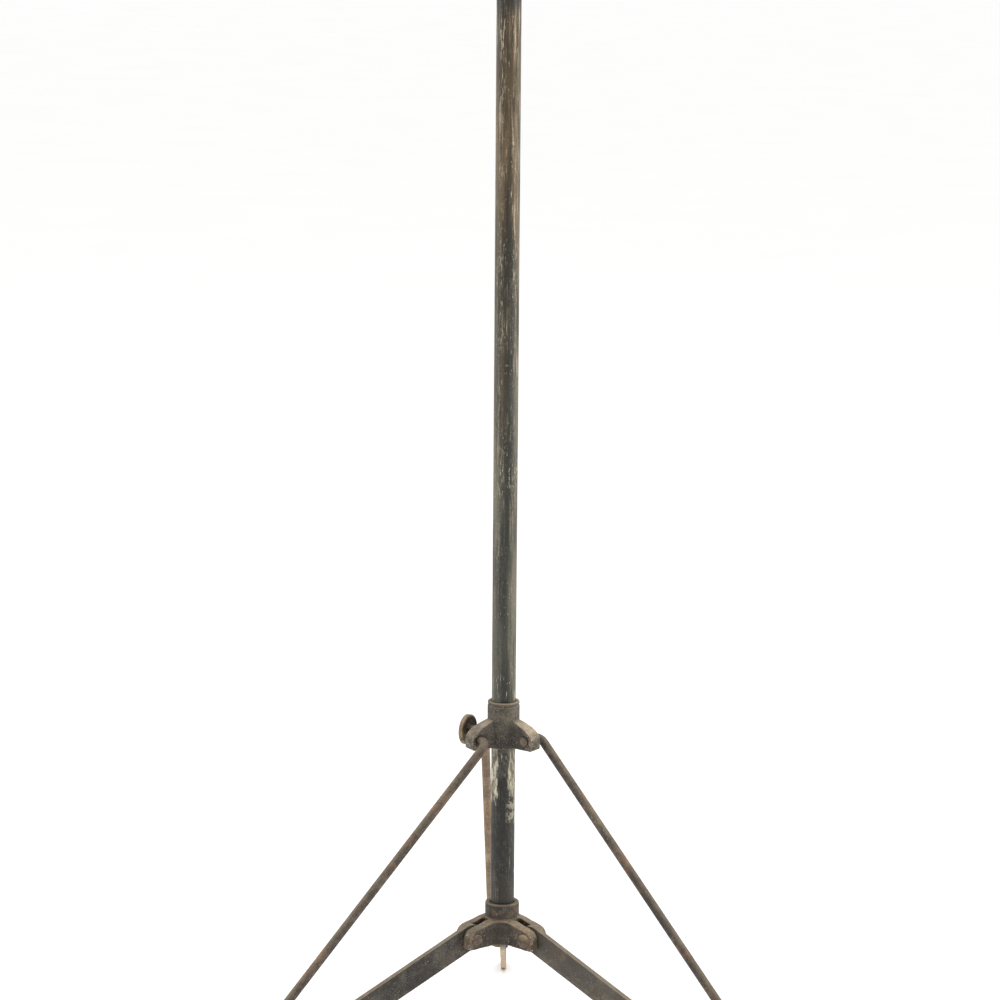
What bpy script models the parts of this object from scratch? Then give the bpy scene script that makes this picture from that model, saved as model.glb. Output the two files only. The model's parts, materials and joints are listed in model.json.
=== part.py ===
# Tripod floor lamp: cast hub and runner on a steel mast, three flat-bar legs
# with round-bar stays, a telescoping inner tube and a yoke-mounted flood head.
# Metres, +Z up. The mast's axis is vertical; the origin is the middle of the
# lamp's footprint on the floor. The drawing dimensions below are millimetres.
import bpy
import bmesh
import math
from mathutils import Matrix, Vector

MM = 0.001

# ---------------------------------------------------------------- dimensions
TUBE_R = 12.7            # outer tube, 25.4 mm steel tube
TUBE_WALL = 1.65
LEG_SLOPE = math.radians(24.0)   # legs below the horizontal when spread
LEG_AZ = (89.75, -149.0, -36.0)   # rear, left-front, right-front
PIVOT_R = 39.5           # leg pivots, from the mast's axis
LEG_H = 26.4             # flat bar, on edge
LEG_T = 6.35
LEG_REACH = 560.0        # pivot to the start of the flat under the foot
FOOT_A = 20.0            # run of that flat, along the leg
LEG_END = LEG_REACH + FOOT_A
HUB_Z = LEG_REACH * math.sin(LEG_SLOPE) + LEG_H / 2 * math.cos(LEG_SLOPE)

RUN_UP = 217.3           # runner's pin height above the leg pivots
STAY_S = 373.6           # stay pin, along the leg from the leg pivot
STAY_PIN_UP = 3.1         # and above the middle of the bar
STAY_R = 4.7625          # 3/8 inch rod
PIN_R = 32.6             # stay pins in the runner, from the axis
STAY_OFF_TOP = 20.2      # rod's offset beside the lug
STAY_OFF_BOT = 13.0      # rod's offset beside the leg
BEND_R = 8.8

HUB_HALF = 15.0          # half width of a clevis
SLOT_HALF = 4.3
HUB_SLEEVE_R = 18.2
WEB_R = 18.0               # concave webs between the clevises
HUB_TOP = 33.5           # above the pivots
HUB_BOT = -11.0
RUN_SLEEVE_R = 17.0
RUN_TOP = 38.2
RUN_BOT = -11.6
SCREW_AZ = 151.0         # runner's thumbscrew

CLAMP_BOT = HUB_Z + 996.0
TUBE_TOP = HUB_Z + 1018.0
CLAMP_TOP = HUB_Z + 1048.0
CLAMP_SCREW_Z = HUB_Z + 1034.0
CLAMP_AZ = 180.0
INNER_R = 9.525
INNER_WALL = 1.5
INNER_TOP = 1640.0
INNER_LEN = 800.0

SOCKET_Z = INNER_TOP + 14.0      # lower face of the swivel socket
YOKE_BASE = SOCKET_Z + 38.6      # underside of the yoke's base
YOKE_T = 4.0
YOKE_W = 26.0
YOKE_X = 155.0                   # inner face of each arm
TILT_UP = 172.0                  # tilt axis above the yoke's base underside
TILT_Z = YOKE_BASE + TILT_UP
HEAD_DROP = math.radians(18.0)   # head looks down by this at rest
BOWL_R = 146.0
TILT_AT = 50.0                   # tilt axis, along the lamp's axis

# --------------------------------------------------------------- clean scene
for ob in list(bpy.data.objects):
    bpy.data.objects.remove(ob, do_unlink=True)
for blocks in (bpy.data.meshes, bpy.data.curves):
    for bl in list(blocks):
        blocks.remove(bl)

lamp = bpy.data.collections.new("tripod_floor_lamp")
bpy.context.scene.collection.children.link(lamp)
cutters = bpy.data.collections.new("cutters")
bpy.context.scene.collection.children.link(cutters)


# ----------------------------------------------------------------- materials
def material(piece, finish, rgb, rough, metal, alpha=1.0):
    """A piece's own material."""
    m = bpy.data.materials.new("%s_%s" % (piece, finish))
    m.use_nodes = True
    b = m.node_tree.nodes["Principled BSDF"]
    b.inputs["Base Color"].default_value = (*rgb, 1.0)
    b.inputs["Roughness"].default_value = rough
    b.inputs["Metallic"].default_value = metal
    b.inputs["Alpha"].default_value = alpha
    m.diffuse_color = (*rgb, alpha)
    return m


# name, colour, roughness, metallic (and alpha)
CAST = ("cast_iron", (0.085, 0.075, 0.062), 0.72, 0.55)
BLACK = ("worn_black_paint", (0.075, 0.075, 0.070), 0.55, 0.45)
RUSTY = ("rusted_steel", (0.13, 0.095, 0.070), 0.65, 0.6)
BARE = ("bare_steel", (0.30, 0.27, 0.23), 0.42, 0.9)
BRASS = ("aged_brass", (0.38, 0.26, 0.11), 0.42, 0.9)
SPUN = ("spun_steel", (0.10, 0.085, 0.068), 0.5, 0.6)
BAKE = ("bakelite", (0.045, 0.028, 0.020), 0.38, 0.0)
PORC = ("porcelain", (0.72, 0.68, 0.58), 0.3, 0.0)
GLASS = ("glass", (0.85, 0.86, 0.84), 0.08, 0.0, 0.35)
WIRE = ("filament_wire", (0.42, 0.40, 0.37), 0.3, 0.9)


# ------------------------------------------------------------------- helpers
def empty(name, loc, rot_z=0.0, rot_x=0.0, parent=None):
    e = bpy.data.objects.new(name, None)
    e.empty_display_size = 0.03
    lamp.objects.link(e)
    e.parent = parent
    e.location = Vector(loc) * MM
    e.rotation_euler = (rot_x, 0.0, rot_z)
    return e


def place(name, mesh, mat, parent, loc=(0, 0, 0), rot=(0, 0, 0), guide=False):
    ob = bpy.data.objects.new(name, mesh)
    (cutters if guide else lamp).objects.link(ob)
    ob.parent = parent
    ob.location = Vector(loc) * MM
    ob.rotation_euler = rot
    if mat:
        ob.data.materials.clear()
        ob.data.materials.append(material(name, *mat))
    if guide:
        ob.hide_render = True
        ob.display_type = "WIRE"
    return ob


def smooth(me, angle=38.0):
    me.shade_smooth()
    me.set_sharp_from_angle(angle=math.radians(angle))
    return me


def baked(ob, weld=1e-6):
    """The object's evaluated mesh, modifiers applied, its points welded."""
    bpy.context.view_layer.update()
    dg = bpy.context.evaluated_depsgraph_get()
    me = bpy.data.meshes.new_from_object(ob.evaluated_get(dg))
    bm = bmesh.new()
    bm.from_mesh(me)
    bmesh.ops.remove_doubles(bm, verts=bm.verts, dist=weld)
    bmesh.ops.dissolve_degenerate(bm, edges=bm.edges, dist=1e-7)
    bmesh.ops.recalc_face_normals(bm, faces=bm.faces)
    bm.to_mesh(me)
    bm.free()
    data = ob.data
    bpy.data.objects.remove(ob, do_unlink=True)
    if isinstance(data, bpy.types.Mesh):
        bpy.data.meshes.remove(data)
    else:
        bpy.data.curves.remove(data)
    return me


def turned(name, profile, steps):
    """A profile (r, z) turned about Z; the outer side runs from top to bottom."""
    me = bpy.data.meshes.new(name)
    pts = [(r * MM, 0.0, z * MM) for r, z in profile]
    closed = min(r for r, z in profile) > 1e-6
    n = len(pts)
    edges = [(i, i + 1) for i in range(n - 1)] + ([(n - 1, 0)] if closed else [])
    me.from_pydata(pts, edges, [])
    ob = bpy.data.objects.new(name, me)
    bpy.context.scene.collection.objects.link(ob)
    s = ob.modifiers.new("turn", "SCREW")
    s.axis = "Z"
    s.steps = steps
    s.render_steps = steps
    s.use_merge_vertices = True
    s.merge_threshold = 1e-6
    s.use_smooth_shade = False
    return baked(ob)


def flat(name, outline, thick, holes=()):
    """A flat outline in the X-Z plane, thick along Y, centred on the plane."""
    cu = bpy.data.curves.new(name, "CURVE")
    cu.dimensions = "2D"
    cu.fill_mode = "BOTH"
    cu.extrude = thick * MM / 2
    for ring in (outline, *holes):
        sp = cu.splines.new("POLY")
        sp.points.add(len(ring) - 1)
        for p, (x, z) in zip(sp.points, ring):
            p.co = (x * MM, z * MM, 0.0, 1.0)
        sp.use_cyclic_u = True
    ob = bpy.data.objects.new(name, cu)
    bpy.context.scene.collection.objects.link(ob)
    me = baked(ob)
    me.transform(Matrix.Rotation(math.pi / 2, 4, "X"))
    return me


def rod(name, points, radius, resolution=3):
    cu = bpy.data.curves.new(name, "CURVE")
    cu.dimensions = "3D"
    cu.bevel_depth = radius * MM
    cu.bevel_resolution = resolution
    cu.use_fill_caps = True
    sp = cu.splines.new("POLY")
    sp.points.add(len(points) - 1)
    for p, co in zip(sp.points, points):
        p.co = (*(Vector(co) * MM), 1.0)
    ob = bpy.data.objects.new(name, cu)
    bpy.context.scene.collection.objects.link(ob)
    return baked(ob)


def cylinder(radius, length, segments, axis="Z", centre=(0, 0, 0), r2=None):
    me = bpy.data.meshes.new("cylinder")
    bm = bmesh.new()
    bmesh.ops.create_cone(bm, cap_ends=True, cap_tris=False, segments=segments,
                          radius1=radius * MM, radius2=(radius if r2 is None else r2) * MM,
                          depth=length * MM)
    bm.to_mesh(me)
    bm.free()
    if axis == "X":
        me.transform(Matrix.Rotation(math.pi / 2, 4, "Y"))
    elif axis == "Y":
        me.transform(Matrix.Rotation(math.pi / 2, 4, "X"))
    me.transform(Matrix.Translation(Vector(centre) * MM))
    return me


def block(sx, sy, sz, centre=(0, 0, 0)):
    me = bpy.data.meshes.new("block")
    bm = bmesh.new()
    bmesh.ops.create_cube(bm, size=1.0)
    bmesh.ops.scale(bm, vec=(sx * MM, sy * MM, sz * MM), verts=bm.verts)
    bmesh.ops.translate(bm, vec=Vector(centre) * MM, verts=bm.verts)
    bm.to_mesh(me)
    bm.free()
    return me


def turned_by(me, degrees, axis="Z"):
    me.transform(Matrix.Rotation(math.radians(degrees), 4, axis))
    return me


def boolean(base, tools, kind="DIFFERENCE"):
    """base mesh with each tool mesh joined or cut, as one new mesh."""
    ob = bpy.data.objects.new("base", base)
    bpy.context.scene.collection.objects.link(ob)
    made = []
    for i, t in enumerate(tools):
        c = bpy.data.objects.new("tool%d" % i, t)
        cutters.objects.link(c)
        c.hide_render = True
        c.display_type = "WIRE"
        made.append(c)
        m = ob.modifiers.new("bool%d" % i, "BOOLEAN")
        m.operation = kind
        m.solver = "EXACT"
        m.object = c
    me = baked(ob)
    for c in made:
        data = c.data
        bpy.data.objects.remove(c, do_unlink=True)
        bpy.data.meshes.remove(data)
    return me


def arc(cx, cz, r, a0, a1, n):
    return [(cx + r * math.cos(math.radians(a0 + (a1 - a0) * i / n)),
             cz + r * math.sin(math.radians(a0 + (a1 - a0) * i / n))) for i in range(n + 1)]


def circle(cx, cz, r, n):
    return [(cx + r * math.cos(2 * math.pi * i / n), cz + r * math.sin(2 * math.pi * i / n)) for i in range(n)]


def filleted(points, radius, n=6):
    """A polyline with its inner corners rounded to radius."""
    out = [Vector(points[0])]
    for a, b, c in zip(points, points[1:], points[2:]):
        a, b, c = Vector(a), Vector(b), Vector(c)
        u, v = (a - b).normalized(), (c - b).normalized()
        half = u.angle(v) / 2
        t = radius / math.tan(half)
        centre = b + (u + v).normalized() * (radius / math.sin(half))
        p, q = b + u * t - centre, b + v * t - centre
        total = p.angle(q)
        for i in range(n + 1):
            s = i / n
            out.append(centre + (p * math.sin((1 - s) * total) + q * math.sin(s * total)) / math.sin(total))
    out.append(Vector(points[-1]))
    return out


def leg_frame(x, z):
    """A point x along a leg and z above its centre line, as (radial, height)."""
    c, s = math.cos(LEG_SLOPE), math.sin(LEG_SLOPE)
    return (x * c + z * s, -x * s + z * c)


# ------------------------------------------------- footprint and the origin
def leg_outline():
    h = LEG_H / 2
    rise = FOOT_A * math.tan(LEG_SLOPE)
    pts = arc(0, 0, h, 90, 270, 12)
    pts += [(LEG_REACH, -h), (LEG_END, -h + rise)]
    pts += [(LEG_END, h - 7.0)] + arc(LEG_END - 7.0, h - 7.0, 7.0, 15, 90, 5)
    return [leg_frame(x, z) for x, z in pts]


def footprint():
    reach = max(x for x, z in leg_outline()) + PIVOT_R
    xs, ys = [], []
    for az in LEG_AZ:
        a = math.radians(az)
        for t in (-LEG_T / 2, LEG_T / 2):
            xs.append(reach * math.cos(a) - t * math.sin(a))
            ys.append(reach * math.sin(a) + t * math.cos(a))
    return (min(xs) + max(xs)) / 2, (min(ys) + max(ys)) / 2


FX, FY = footprint()
axis = empty("mast_axis", (-FX, -FY, 0))


# -------------------------------------------------------------- outer tube
def tube_profile(r_out, r_in, z0, z1, chamfer=0.5):
    c = chamfer
    return [(r_in, z1), (r_out - c, z1), (r_out, z1 - c), (r_out, z0 + c), (r_out - c, z0), (r_in, z0)]


me = turned("outer_tube", tube_profile(TUBE_R, TUBE_R - TUBE_WALL, HUB_Z + HUB_BOT + 1.0, TUBE_TOP), 24)
place("outer_tube", smooth(me), BLACK, axis)


# -------------------------------------------------------------------- hub
def hub_plan():
    """Three lobes with parallel sides, joined by concave webs, from above."""
    out = []
    order = sorted(math.radians(a) % (2 * math.pi) for a in LEG_AZ)
    for i, a in enumerate(order):
        nxt = order[(i + 1) % 3]
        half = ((nxt - a) % (2 * math.pi)) / 2
        for r, t in ((56.0, -HUB_HALF), (56.0, HUB_HALF)):
            out.append((r * math.cos(a) - t * math.sin(a), r * math.sin(a) + t * math.cos(a)))
        far = (HUB_HALF + WEB_R) / math.sin(half)
        mid = a + half
        cx, cy = far * math.cos(mid), far * math.sin(mid)
        for k in range(7):
            t = -(math.pi / 2 - half) + (math.pi - 2 * half) * k / 6
            d = mid + math.pi - t
            out.append((cx + WEB_R * math.cos(d), cy + WEB_R * math.sin(d)))
    return out


cast = turned("cast", [(5.0, 17.4), (18.0, 17.3), (24.0, 16.6), (31.0, 14.0), (38.0, 12.2), (43.2, 10.8),
                       (47.4, 8.2), (49.8, 4.2), (50.6, -0.6), (50.6, HUB_BOT + 1.6), (49.2, HUB_BOT + 0.2),
                       (22.0, HUB_BOT + 1.9), (5.0, HUB_BOT + 2.1)], 32)
plan = flat("plan", hub_plan(), 80.0)
plan.transform(Matrix.Rotation(-math.pi / 2, 4, "X"))
cast = boolean(cast, [plan], "INTERSECT")
sleeve = turned("sleeve", [(6.0, HUB_TOP), (HUB_SLEEVE_R - 0.9, HUB_TOP), (HUB_SLEEVE_R, HUB_TOP - 0.9),
                           (HUB_SLEEVE_R, HUB_BOT), (6.0, HUB_BOT)], 28)
hub = boolean(cast, [sleeve], "UNION")
cuts = [cylinder(TUBE_R + 0.35, 200, 24)]
for az in LEG_AZ:
    cuts.append(turned_by(block(60, SLOT_HALF * 2, 120, (19.4 + 30, 0, 0)), az))
    cuts.append(turned_by(cylinder(5.05, 60, 16, "Y", (PIVOT_R, 0, 0)), az))
    cuts.append(turned_by(cylinder(8.4, 9.0, 16, "Y", (PIVOT_R, -HUB_HALF - 4.4, 0)), az))   # spot faces
    cuts.append(turned_by(cylinder(6.9, 9.0, 14, "Y", (PIVOT_R, HUB_HALF + 4.4, 0)), az))
hub = boolean(hub, cuts)
place("leg_hub", smooth(hub, 30), CAST, axis, (0, 0, HUB_Z))

# rivets: a button head on the clockwise cheek, the closed tail on the other
rivet = turned("rivet", [(0.0, HUB_HALF + 4.6), (2.9, HUB_HALF + 4.2), (5.3, HUB_HALF + 3.0), (7.0, HUB_HALF + 1.4),
                         (7.5, HUB_HALF + 0.3), (4.7, HUB_HALF + 0.3), (4.7, -HUB_HALF - 0.3),
                         (5.9, -HUB_HALF - 0.3), (5.5, -HUB_HALF - 1.0), (3.2, -HUB_HALF - 1.4),
                         (0.0, -HUB_HALF - 1.5)], 16)
rivet.transform(Matrix.Rotation(math.pi / 2, 4, "X"))    # +Z to -Y, the clockwise side
smooth(rivet, 40)
for i, az in enumerate(LEG_AZ, 1):
    a = math.radians(az)
    place("hub_rivet_%d" % i, rivet.copy(), RUSTY, axis,
          (PIVOT_R * math.cos(a), PIVOT_R * math.sin(a), HUB_Z), (0, 0, a))

# -------------------------------------------------------------------- legs
pin_at = leg_frame(STAY_S, STAY_PIN_UP)
for i, az in enumerate(LEG_AZ, 1):
    a = math.radians(az)
    pivot = empty("leg_pivot_%d" % i, (PIVOT_R * math.cos(a), PIVOT_R * math.sin(a), HUB_Z), a, parent=axis)
    me = flat("leg", leg_outline(), LEG_T, [circle(0, 0, 5.0, 16), circle(*pin_at, 4.9, 16)])
    place("leg_%d" % i, smooth(me, 30), BLACK, pivot)
    # the stay's foot pin: the rod's end, through the leg and closed over
    me = turned("pin", [(0.0, LEG_T / 2 + 2.9), (3.6, LEG_T / 2 + 2.7), (5.2, LEG_T / 2 + 1.6), (5.3, LEG_T / 2 + 0.3),
                        (4.55, LEG_T / 2 + 0.3), (4.55, -LEG_T / 2 - 0.1), (0.0, -LEG_T / 2 - 0.1)], 16)
    me.transform(Matrix.Rotation(math.pi / 2, 4, "X"))
    place("stay_foot_pin_%d" % i, smooth(me, 40), RUSTY, pivot, (pin_at[0], 0, pin_at[1]))

# ------------------------------------------------------------------- runner
RUN_Z = HUB_Z + RUN_UP
runner = turned("sleeve", [(6.0, RUN_TOP), (RUN_SLEEVE_R - 0.9, RUN_TOP), (RUN_SLEEVE_R - 0.1, RUN_TOP - 0.8),
                           (RUN_SLEEVE_R - 0.1, RUN_TOP - 2.8), (RUN_SLEEVE_R - 1.0, RUN_TOP - 3.3),
                           (RUN_SLEEVE_R - 1.0, RUN_TOP - 4.4), (RUN_SLEEVE_R, RUN_TOP - 5.0),
                           (RUN_SLEEVE_R, RUN_BOT + 0.6), (RUN_SLEEVE_R - 0.6, RUN_BOT), (6.0, RUN_BOT)], 28)
parts = []
for az in LEG_AZ:
    outline = [(4.0, -11.0), (41.0, -10.0), (42.0, -9.0), (42.0, 0.6), (41.4, 3.4), (39.2, 6.8),
               (36.0, 9.8), (32.4, 12.1), (28.6, 14.1), (25.0, 15.8), (20.5, 17.7), (16.0, 19.2), (4.0, 20.4)]
    lug = flat("lug", outline, 16.4)
    for v in lug.vertices:      # a lug is thinner where it leaves the sleeve
        v.co.y *= 0.72 + 0.28 * min(1.0, max(0.0, (v.co.x / MM - 14.0) / 22.0))
    parts.append(turned_by(lug, az))
parts.append(turned_by(cylinder(8.4, 16.0, 20, "X", (20.5, 0, 0)), SCREW_AZ))
runner = boolean(runner, parts, "UNION")
cuts = [cylinder(TUBE_R + 0.4, 200, 24)]
for az in LEG_AZ:
    cuts.append(turned_by(cylinder(5.25, 60, 16, "Y", (PIN_R, 0, 0)), az))
cuts.append(turned_by(cylinder(4.5, 24.0, 16, "X", (22.0, 0, 0)), SCREW_AZ))
runner = boolean(runner, cuts)
place("runner", smooth(runner, 30), CAST, axis, (0, 0, RUN_Z))

# stays: round bars cranked at both ends
lower = (PIVOT_R + pin_at[0] - PIN_R, pin_at[1] - RUN_UP)      # leg pin, seen from the runner's pin
for i, az in enumerate(LEG_AZ, 1):
    a = math.radians(az)
    pivot = empty("stay_pivot_%d" % i, (PIN_R * math.cos(a), PIN_R * math.sin(a), RUN_Z), a, parent=axis)
    path = [(0, -8.9, 0), (0, STAY_OFF_TOP, 0), (lower[0], STAY_OFF_BOT, lower[1]),
            (lower[0], LEG_T / 2 + 0.6, lower[1])]
    me = rod("stay", filleted(path, BEND_R, 5), STAY_R, 3)
    place("stay_%d" % i, smooth(me, 50), RUSTY, pivot)


# -------------------------------------------------------------- thumbscrews
def thumbscrew(tip, face, shank_r=4.1, knob_r=16.2):
    """Along +X: a shank from tip to a round dished knob whose near face is at face."""
    p = [(0.0, face + 6.2), (6.0, face + 6.6), (knob_r - 2.6, face + 6.4), (knob_r, face + 5.2),
         (knob_r, face + 0.9), (knob_r - 1.6, face),
         (knob_r - 3.2, face + 1.4), (6.6, face + 3.0), (5.4, face + 2.2), (5.2, face - 5.0),
         (shank_r, face - 6.0), (shank_r, tip + 1.4), (shank_r - 1.2, tip), (0.0, tip)]
    me = turned("thumbscrew", p, 20)
    me.transform(Matrix.Rotation(math.pi / 2, 4, "Y"))      # +Z to +X
    return smooth(me, 35)


place("runner_thumbscrew", thumbscrew(TUBE_R + 0.5, 40.4), CAST, axis, (0, 0, RUN_Z),
      (0, 0, math.radians(SCREW_AZ)))

# --------------------------------------------------------------- top clamp
clamp = turned("clamp", [(3.0, CLAMP_TOP), (12.6, CLAMP_TOP), (13.4, CLAMP_TOP - 0.8), (14.2, CLAMP_TOP - 8.0),
                         (17.2, CLAMP_TOP - 12.0), (17.2, CLAMP_BOT + 4.4), (16.6, CLAMP_BOT + 3.6),
                         (16.6, CLAMP_BOT + 0.6), (16.0, CLAMP_BOT), (3.0, CLAMP_BOT)], 28)
clamp = boolean(clamp, [turned_by(cylinder(8.4, 18.0, 20, "X", (18.0, 0, CLAMP_SCREW_Z)), CLAMP_AZ)], "UNION")
clamp = boolean(clamp, [cylinder(TUBE_R + 0.35, 60, 24, "Z", (0, 0, TUBE_TOP + 0.4 - 30)),
                        cylinder(INNER_R + 0.4, 120, 24, "Z", (0, 0, CLAMP_TOP)),
                        turned_by(cylinder(4.5, 30.0, 16, "X", (22.0, 0, CLAMP_SCREW_Z)), CLAMP_AZ)])
place("top_clamp", smooth(clamp, 30), CAST, axis)
place("clamp_thumbscrew", thumbscrew(INNER_R + 0.5, 36.0), CAST, axis, (0, 0, CLAMP_SCREW_Z),
      (0, 0, math.radians(CLAMP_AZ)))

# -------------------------------------------------------------- inner tube
me = turned("inner_tube", tube_profile(INNER_R, INNER_R - INNER_WALL, INNER_TOP - INNER_LEN, INNER_TOP, 0.4), 24)
place("inner_tube", smooth(me), BARE, axis)
IB = INNER_TOP - INNER_LEN
me = turned("guide_bush", [(0.0, IB + 14.0), (6.9, IB + 14.0), (7.6, IB + 13.0), (7.6, IB - 0.3), (10.2, IB - 0.3),
                           (10.7, IB - 0.9), (10.7, IB - 13.4), (10.0, IB - 14.0), (0.0, IB - 14.0)], 20)
place("guide_bush", smooth(me, 30), BRASS, axis)
me = turned("mast_cap", [(0.0, INNER_TOP + 46.0), (5.2, INNER_TOP + 46.0), (6.0, INNER_TOP + 45.2),
                         (6.0, INNER_TOP + 13.7), (10.6, INNER_TOP + 13.7), (11.4, INNER_TOP + 12.9),
                         (11.4, INNER_TOP + 4.0), (10.4, INNER_TOP + 2.6), (10.4, INNER_TOP + 0.3),
                         (7.6, INNER_TOP + 0.3), (7.6, INNER_TOP - 17.0), (6.8, INNER_TOP - 18.0),
                         (0.0, INNER_TOP - 18.0)], 20)
place("mast_cap", smooth(me, 30), BARE, axis)

# -------------------------------------------------------- swivel and yoke
swivel = empty("swivel_axis", (0, 0, SOCKET_Z), parent=axis)
sock = turned("socket", [(0.0, 38.3), (11.2, 38.3), (12.2, 37.3), (12.2, 4.0), (13.2, 3.0), (13.2, 0.6),
                         (12.6, 0.0), (0.0, 0.0)], 20)
sock = boolean(sock, [turned_by(cylinder(7.3, 12.0, 20, "X", (14.0, 0, 14.0)), 180)], "UNION")
sock = boolean(sock, [cylinder(6.35, 70.0, 20, "Z", (0, 0, -1.7)),
                      cylinder(4.1, 30.0, 22, "Z", (0, 0, 38.0)),
                      turned_by(cylinder(3.5, 30.0, 18, "X", (19.0, 0, 14.0)), 180)])
place("swivel_socket", smooth(sock, 30), CAST, swivel)
screw = turned("screw", [(0.0, 34.8), (5.0, 35.0), (8.6, 34.7), (9.6, 33.8), (9.6, 30.6), (8.8, 29.8), (5.0, 30.4),
                         (4.6, 26.0), (3.1, 25.4), (3.1, 7.4), (2.4, 6.5), (0.0, 6.5)], 20)
screw.transform(Matrix.Rotation(math.pi / 2, 4, "Y"))
place("swivel_thumbscrew", smooth(screw, 35), BARE, swivel, (0, 0, 14.0), (0, 0, math.pi))


def u_outline():
    """The yoke's U from the front, relative to its base's underside."""
    r = 22.0
    x, top = YOKE_X, TILT_UP + YOKE_W / 2
    out = [(-x - YOKE_T, top)] + arc(-x - YOKE_T + r + YOKE_T, r + YOKE_T, r + YOKE_T, 180, 270, 6)
    out += arc(x + YOKE_T - r - YOKE_T, r + YOKE_T, r + YOKE_T, 270, 360, 6) + [(x + YOKE_T, top)]
    inn = [(x, top)] + arc(x - r, r + YOKE_T, r, 0, -90, 6) + arc(-x + r, r + YOKE_T, r, 270, 180, 6) + [(-x, top)]
    return out + inn


u = flat("u", u_outline(), YOKE_W)
side = [(z, y) for z, y in ((-YOKE_W / 2, -5.0), (YOKE_W / 2, -5.0))] + arc(0, TILT_UP, YOKE_W / 2, 0, 180, 12)
prism = flat("side", side, 400.0)
prism.transform(Matrix.Rotation(math.pi / 2, 4, "Z"))
u = boolean(u, [prism], "INTERSECT")
u = boolean(u, [cylinder(4.5, 400.0, 20, "X", (0, 0, TILT_UP)), cylinder(4.3, 40.0, 20, "Z", (0, 0, 0))])
place("yoke", smooth(u, 30), BLACK, swivel, (0, 0, YOKE_BASE - SOCKET_Z))
bolt = boolean(cylinder(7.4, 4.6, 6, "Z", (0, 0, YOKE_T + 0.3 + 2.3)),
               [cylinder(3.8, 12.0, 20, "Z", (0, 0, YOKE_T + 2.0 - 6.0))], "UNION")
place("yoke_bolt", bolt, BARE, swivel, (0, 0, YOKE_BASE - SOCKET_Z))

# --------------------------------------------------------------------- head
# Modelled about the lamp's axis, +Z to the mouth, then laid forward over -Y.
tilt = empty("tilt_axis", (0, 0, TILT_Z - SOCKET_Z), rot_x=math.pi / 2 + HEAD_DROP, parent=swivel)
ZS = -TILT_AT            # shifts lamp-axis stations so that the tilt axis is at 0


def st(profile):
    return [(r, z + ZS) for r, z in profile]


def head(name, me, mat):
    return place(name, me, mat, tilt)


W = 1.2
outer = [(BOWL_R + W, 99.0)]
outer += [(BOWL_R + W, 40.0)]
for k in range(1, 7):
    t = math.pi / 2 * (1 - k / 6)
    outer.append((45.0 + (BOWL_R + W - 45.0) * math.sin(t), -35.0 - W + (75.0 + W) * (1 - math.cos(t))))
outer = outer + [(45.0, -50.0)]
inner = [(45.0 - W, -50.0)]
for k in range(6, 0, -1):
    t = math.pi / 2 * (1 - k / 6)
    inner.append((45.0 - W + (BOWL_R - 45.0 + W) * math.sin(t), -35.0 + 75.0 * (1 - math.cos(t))))
inner += [(BOWL_R, 40.0), (BOWL_R, 100.0)]
bead = [(BOWL_R + 3.4 + 3.2 * math.cos(b), 101.5 + 3.2 * math.sin(b))
        for b in [math.radians(d) for d in (150, 78, 6, -66, -138)]]
bowl = turned("reflector", st(bead + outer + inner), 32)
holes = [cylinder(4.5, 340.0, 20, "X")]
screws_at = [cylinder(2.0, 30.0, 12, "X", (48.0, 0, -44.0 + ZS)) for k in range(3)]
for k, m in enumerate(screws_at):
    turned_by(m, 30 + 120 * k)
bowl = boolean(bowl, holes + screws_at)
head("reflector", smooth(bowl, 30), SPUN)

can = turned("can", st([(45.4, -38.0), (46.8, -38.0), (47.4, -38.7), (47.4, -39.9), (46.6, -40.6), (46.6, -149.0), (45.4, -149.0)]), 28)
vents = []
for k in range(8):
    v = cylinder(3.5, 30.0, 10, "X", (46.0, 0, 0))
    for p in v.vertices:
        p.co.z *= 3.0
    v.transform(Matrix.Translation((0, 0, (-112.0 + ZS) * MM)))
    vents.append(turned_by(v, 45 * k + 21.0))
screws_at = [turned_by(cylinder(2.0, 30.0, 12, "X", (48.0, 0, -44.0 + ZS)), 30 + 120 * k) for k in range(3)]
can = boolean(can, vents + screws_at)
head("lamp_housing", smooth(can, 30), SPUN)

one = turned("s", [(0.0, 49.6), (2.0, 49.4), (3.4, 48.5), (3.8, 47.2), (1.7, 47.2), (1.7, 42.0), (0.0, 42.0)], 14)
one.transform(Matrix.Rotation(math.pi / 2, 4, "Y"))
smooth(one, 40)
for k in range(3):
    c = one.copy()
    turned_by(c, 30 + 120 * k)
    place("housing_screw_%d" % (k + 1), c, BRASS, tilt, (0, 0, -44.0 + ZS))

cap = turned("cap", st([(5.0, -151.0), (44.6, -151.0), (44.6, -140.0), (45.1, -140.0), (45.1, -149.3), (48.2, -149.3),
                        (48.2, -151.6), (46.0, -153.4), (30.0, -154.6), (5.0, -154.6)]), 28)
cap = boolean(cap, [cylinder(5.4, 30.0, 20, "Z", (0, 0, -152.0 + ZS)),
                    cylinder(3.3, 30.0, 16, "Z", (0, 27.0, -152.0 + ZS))])
head("rear_cap", smooth(cap, 30), SPUN)

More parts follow.
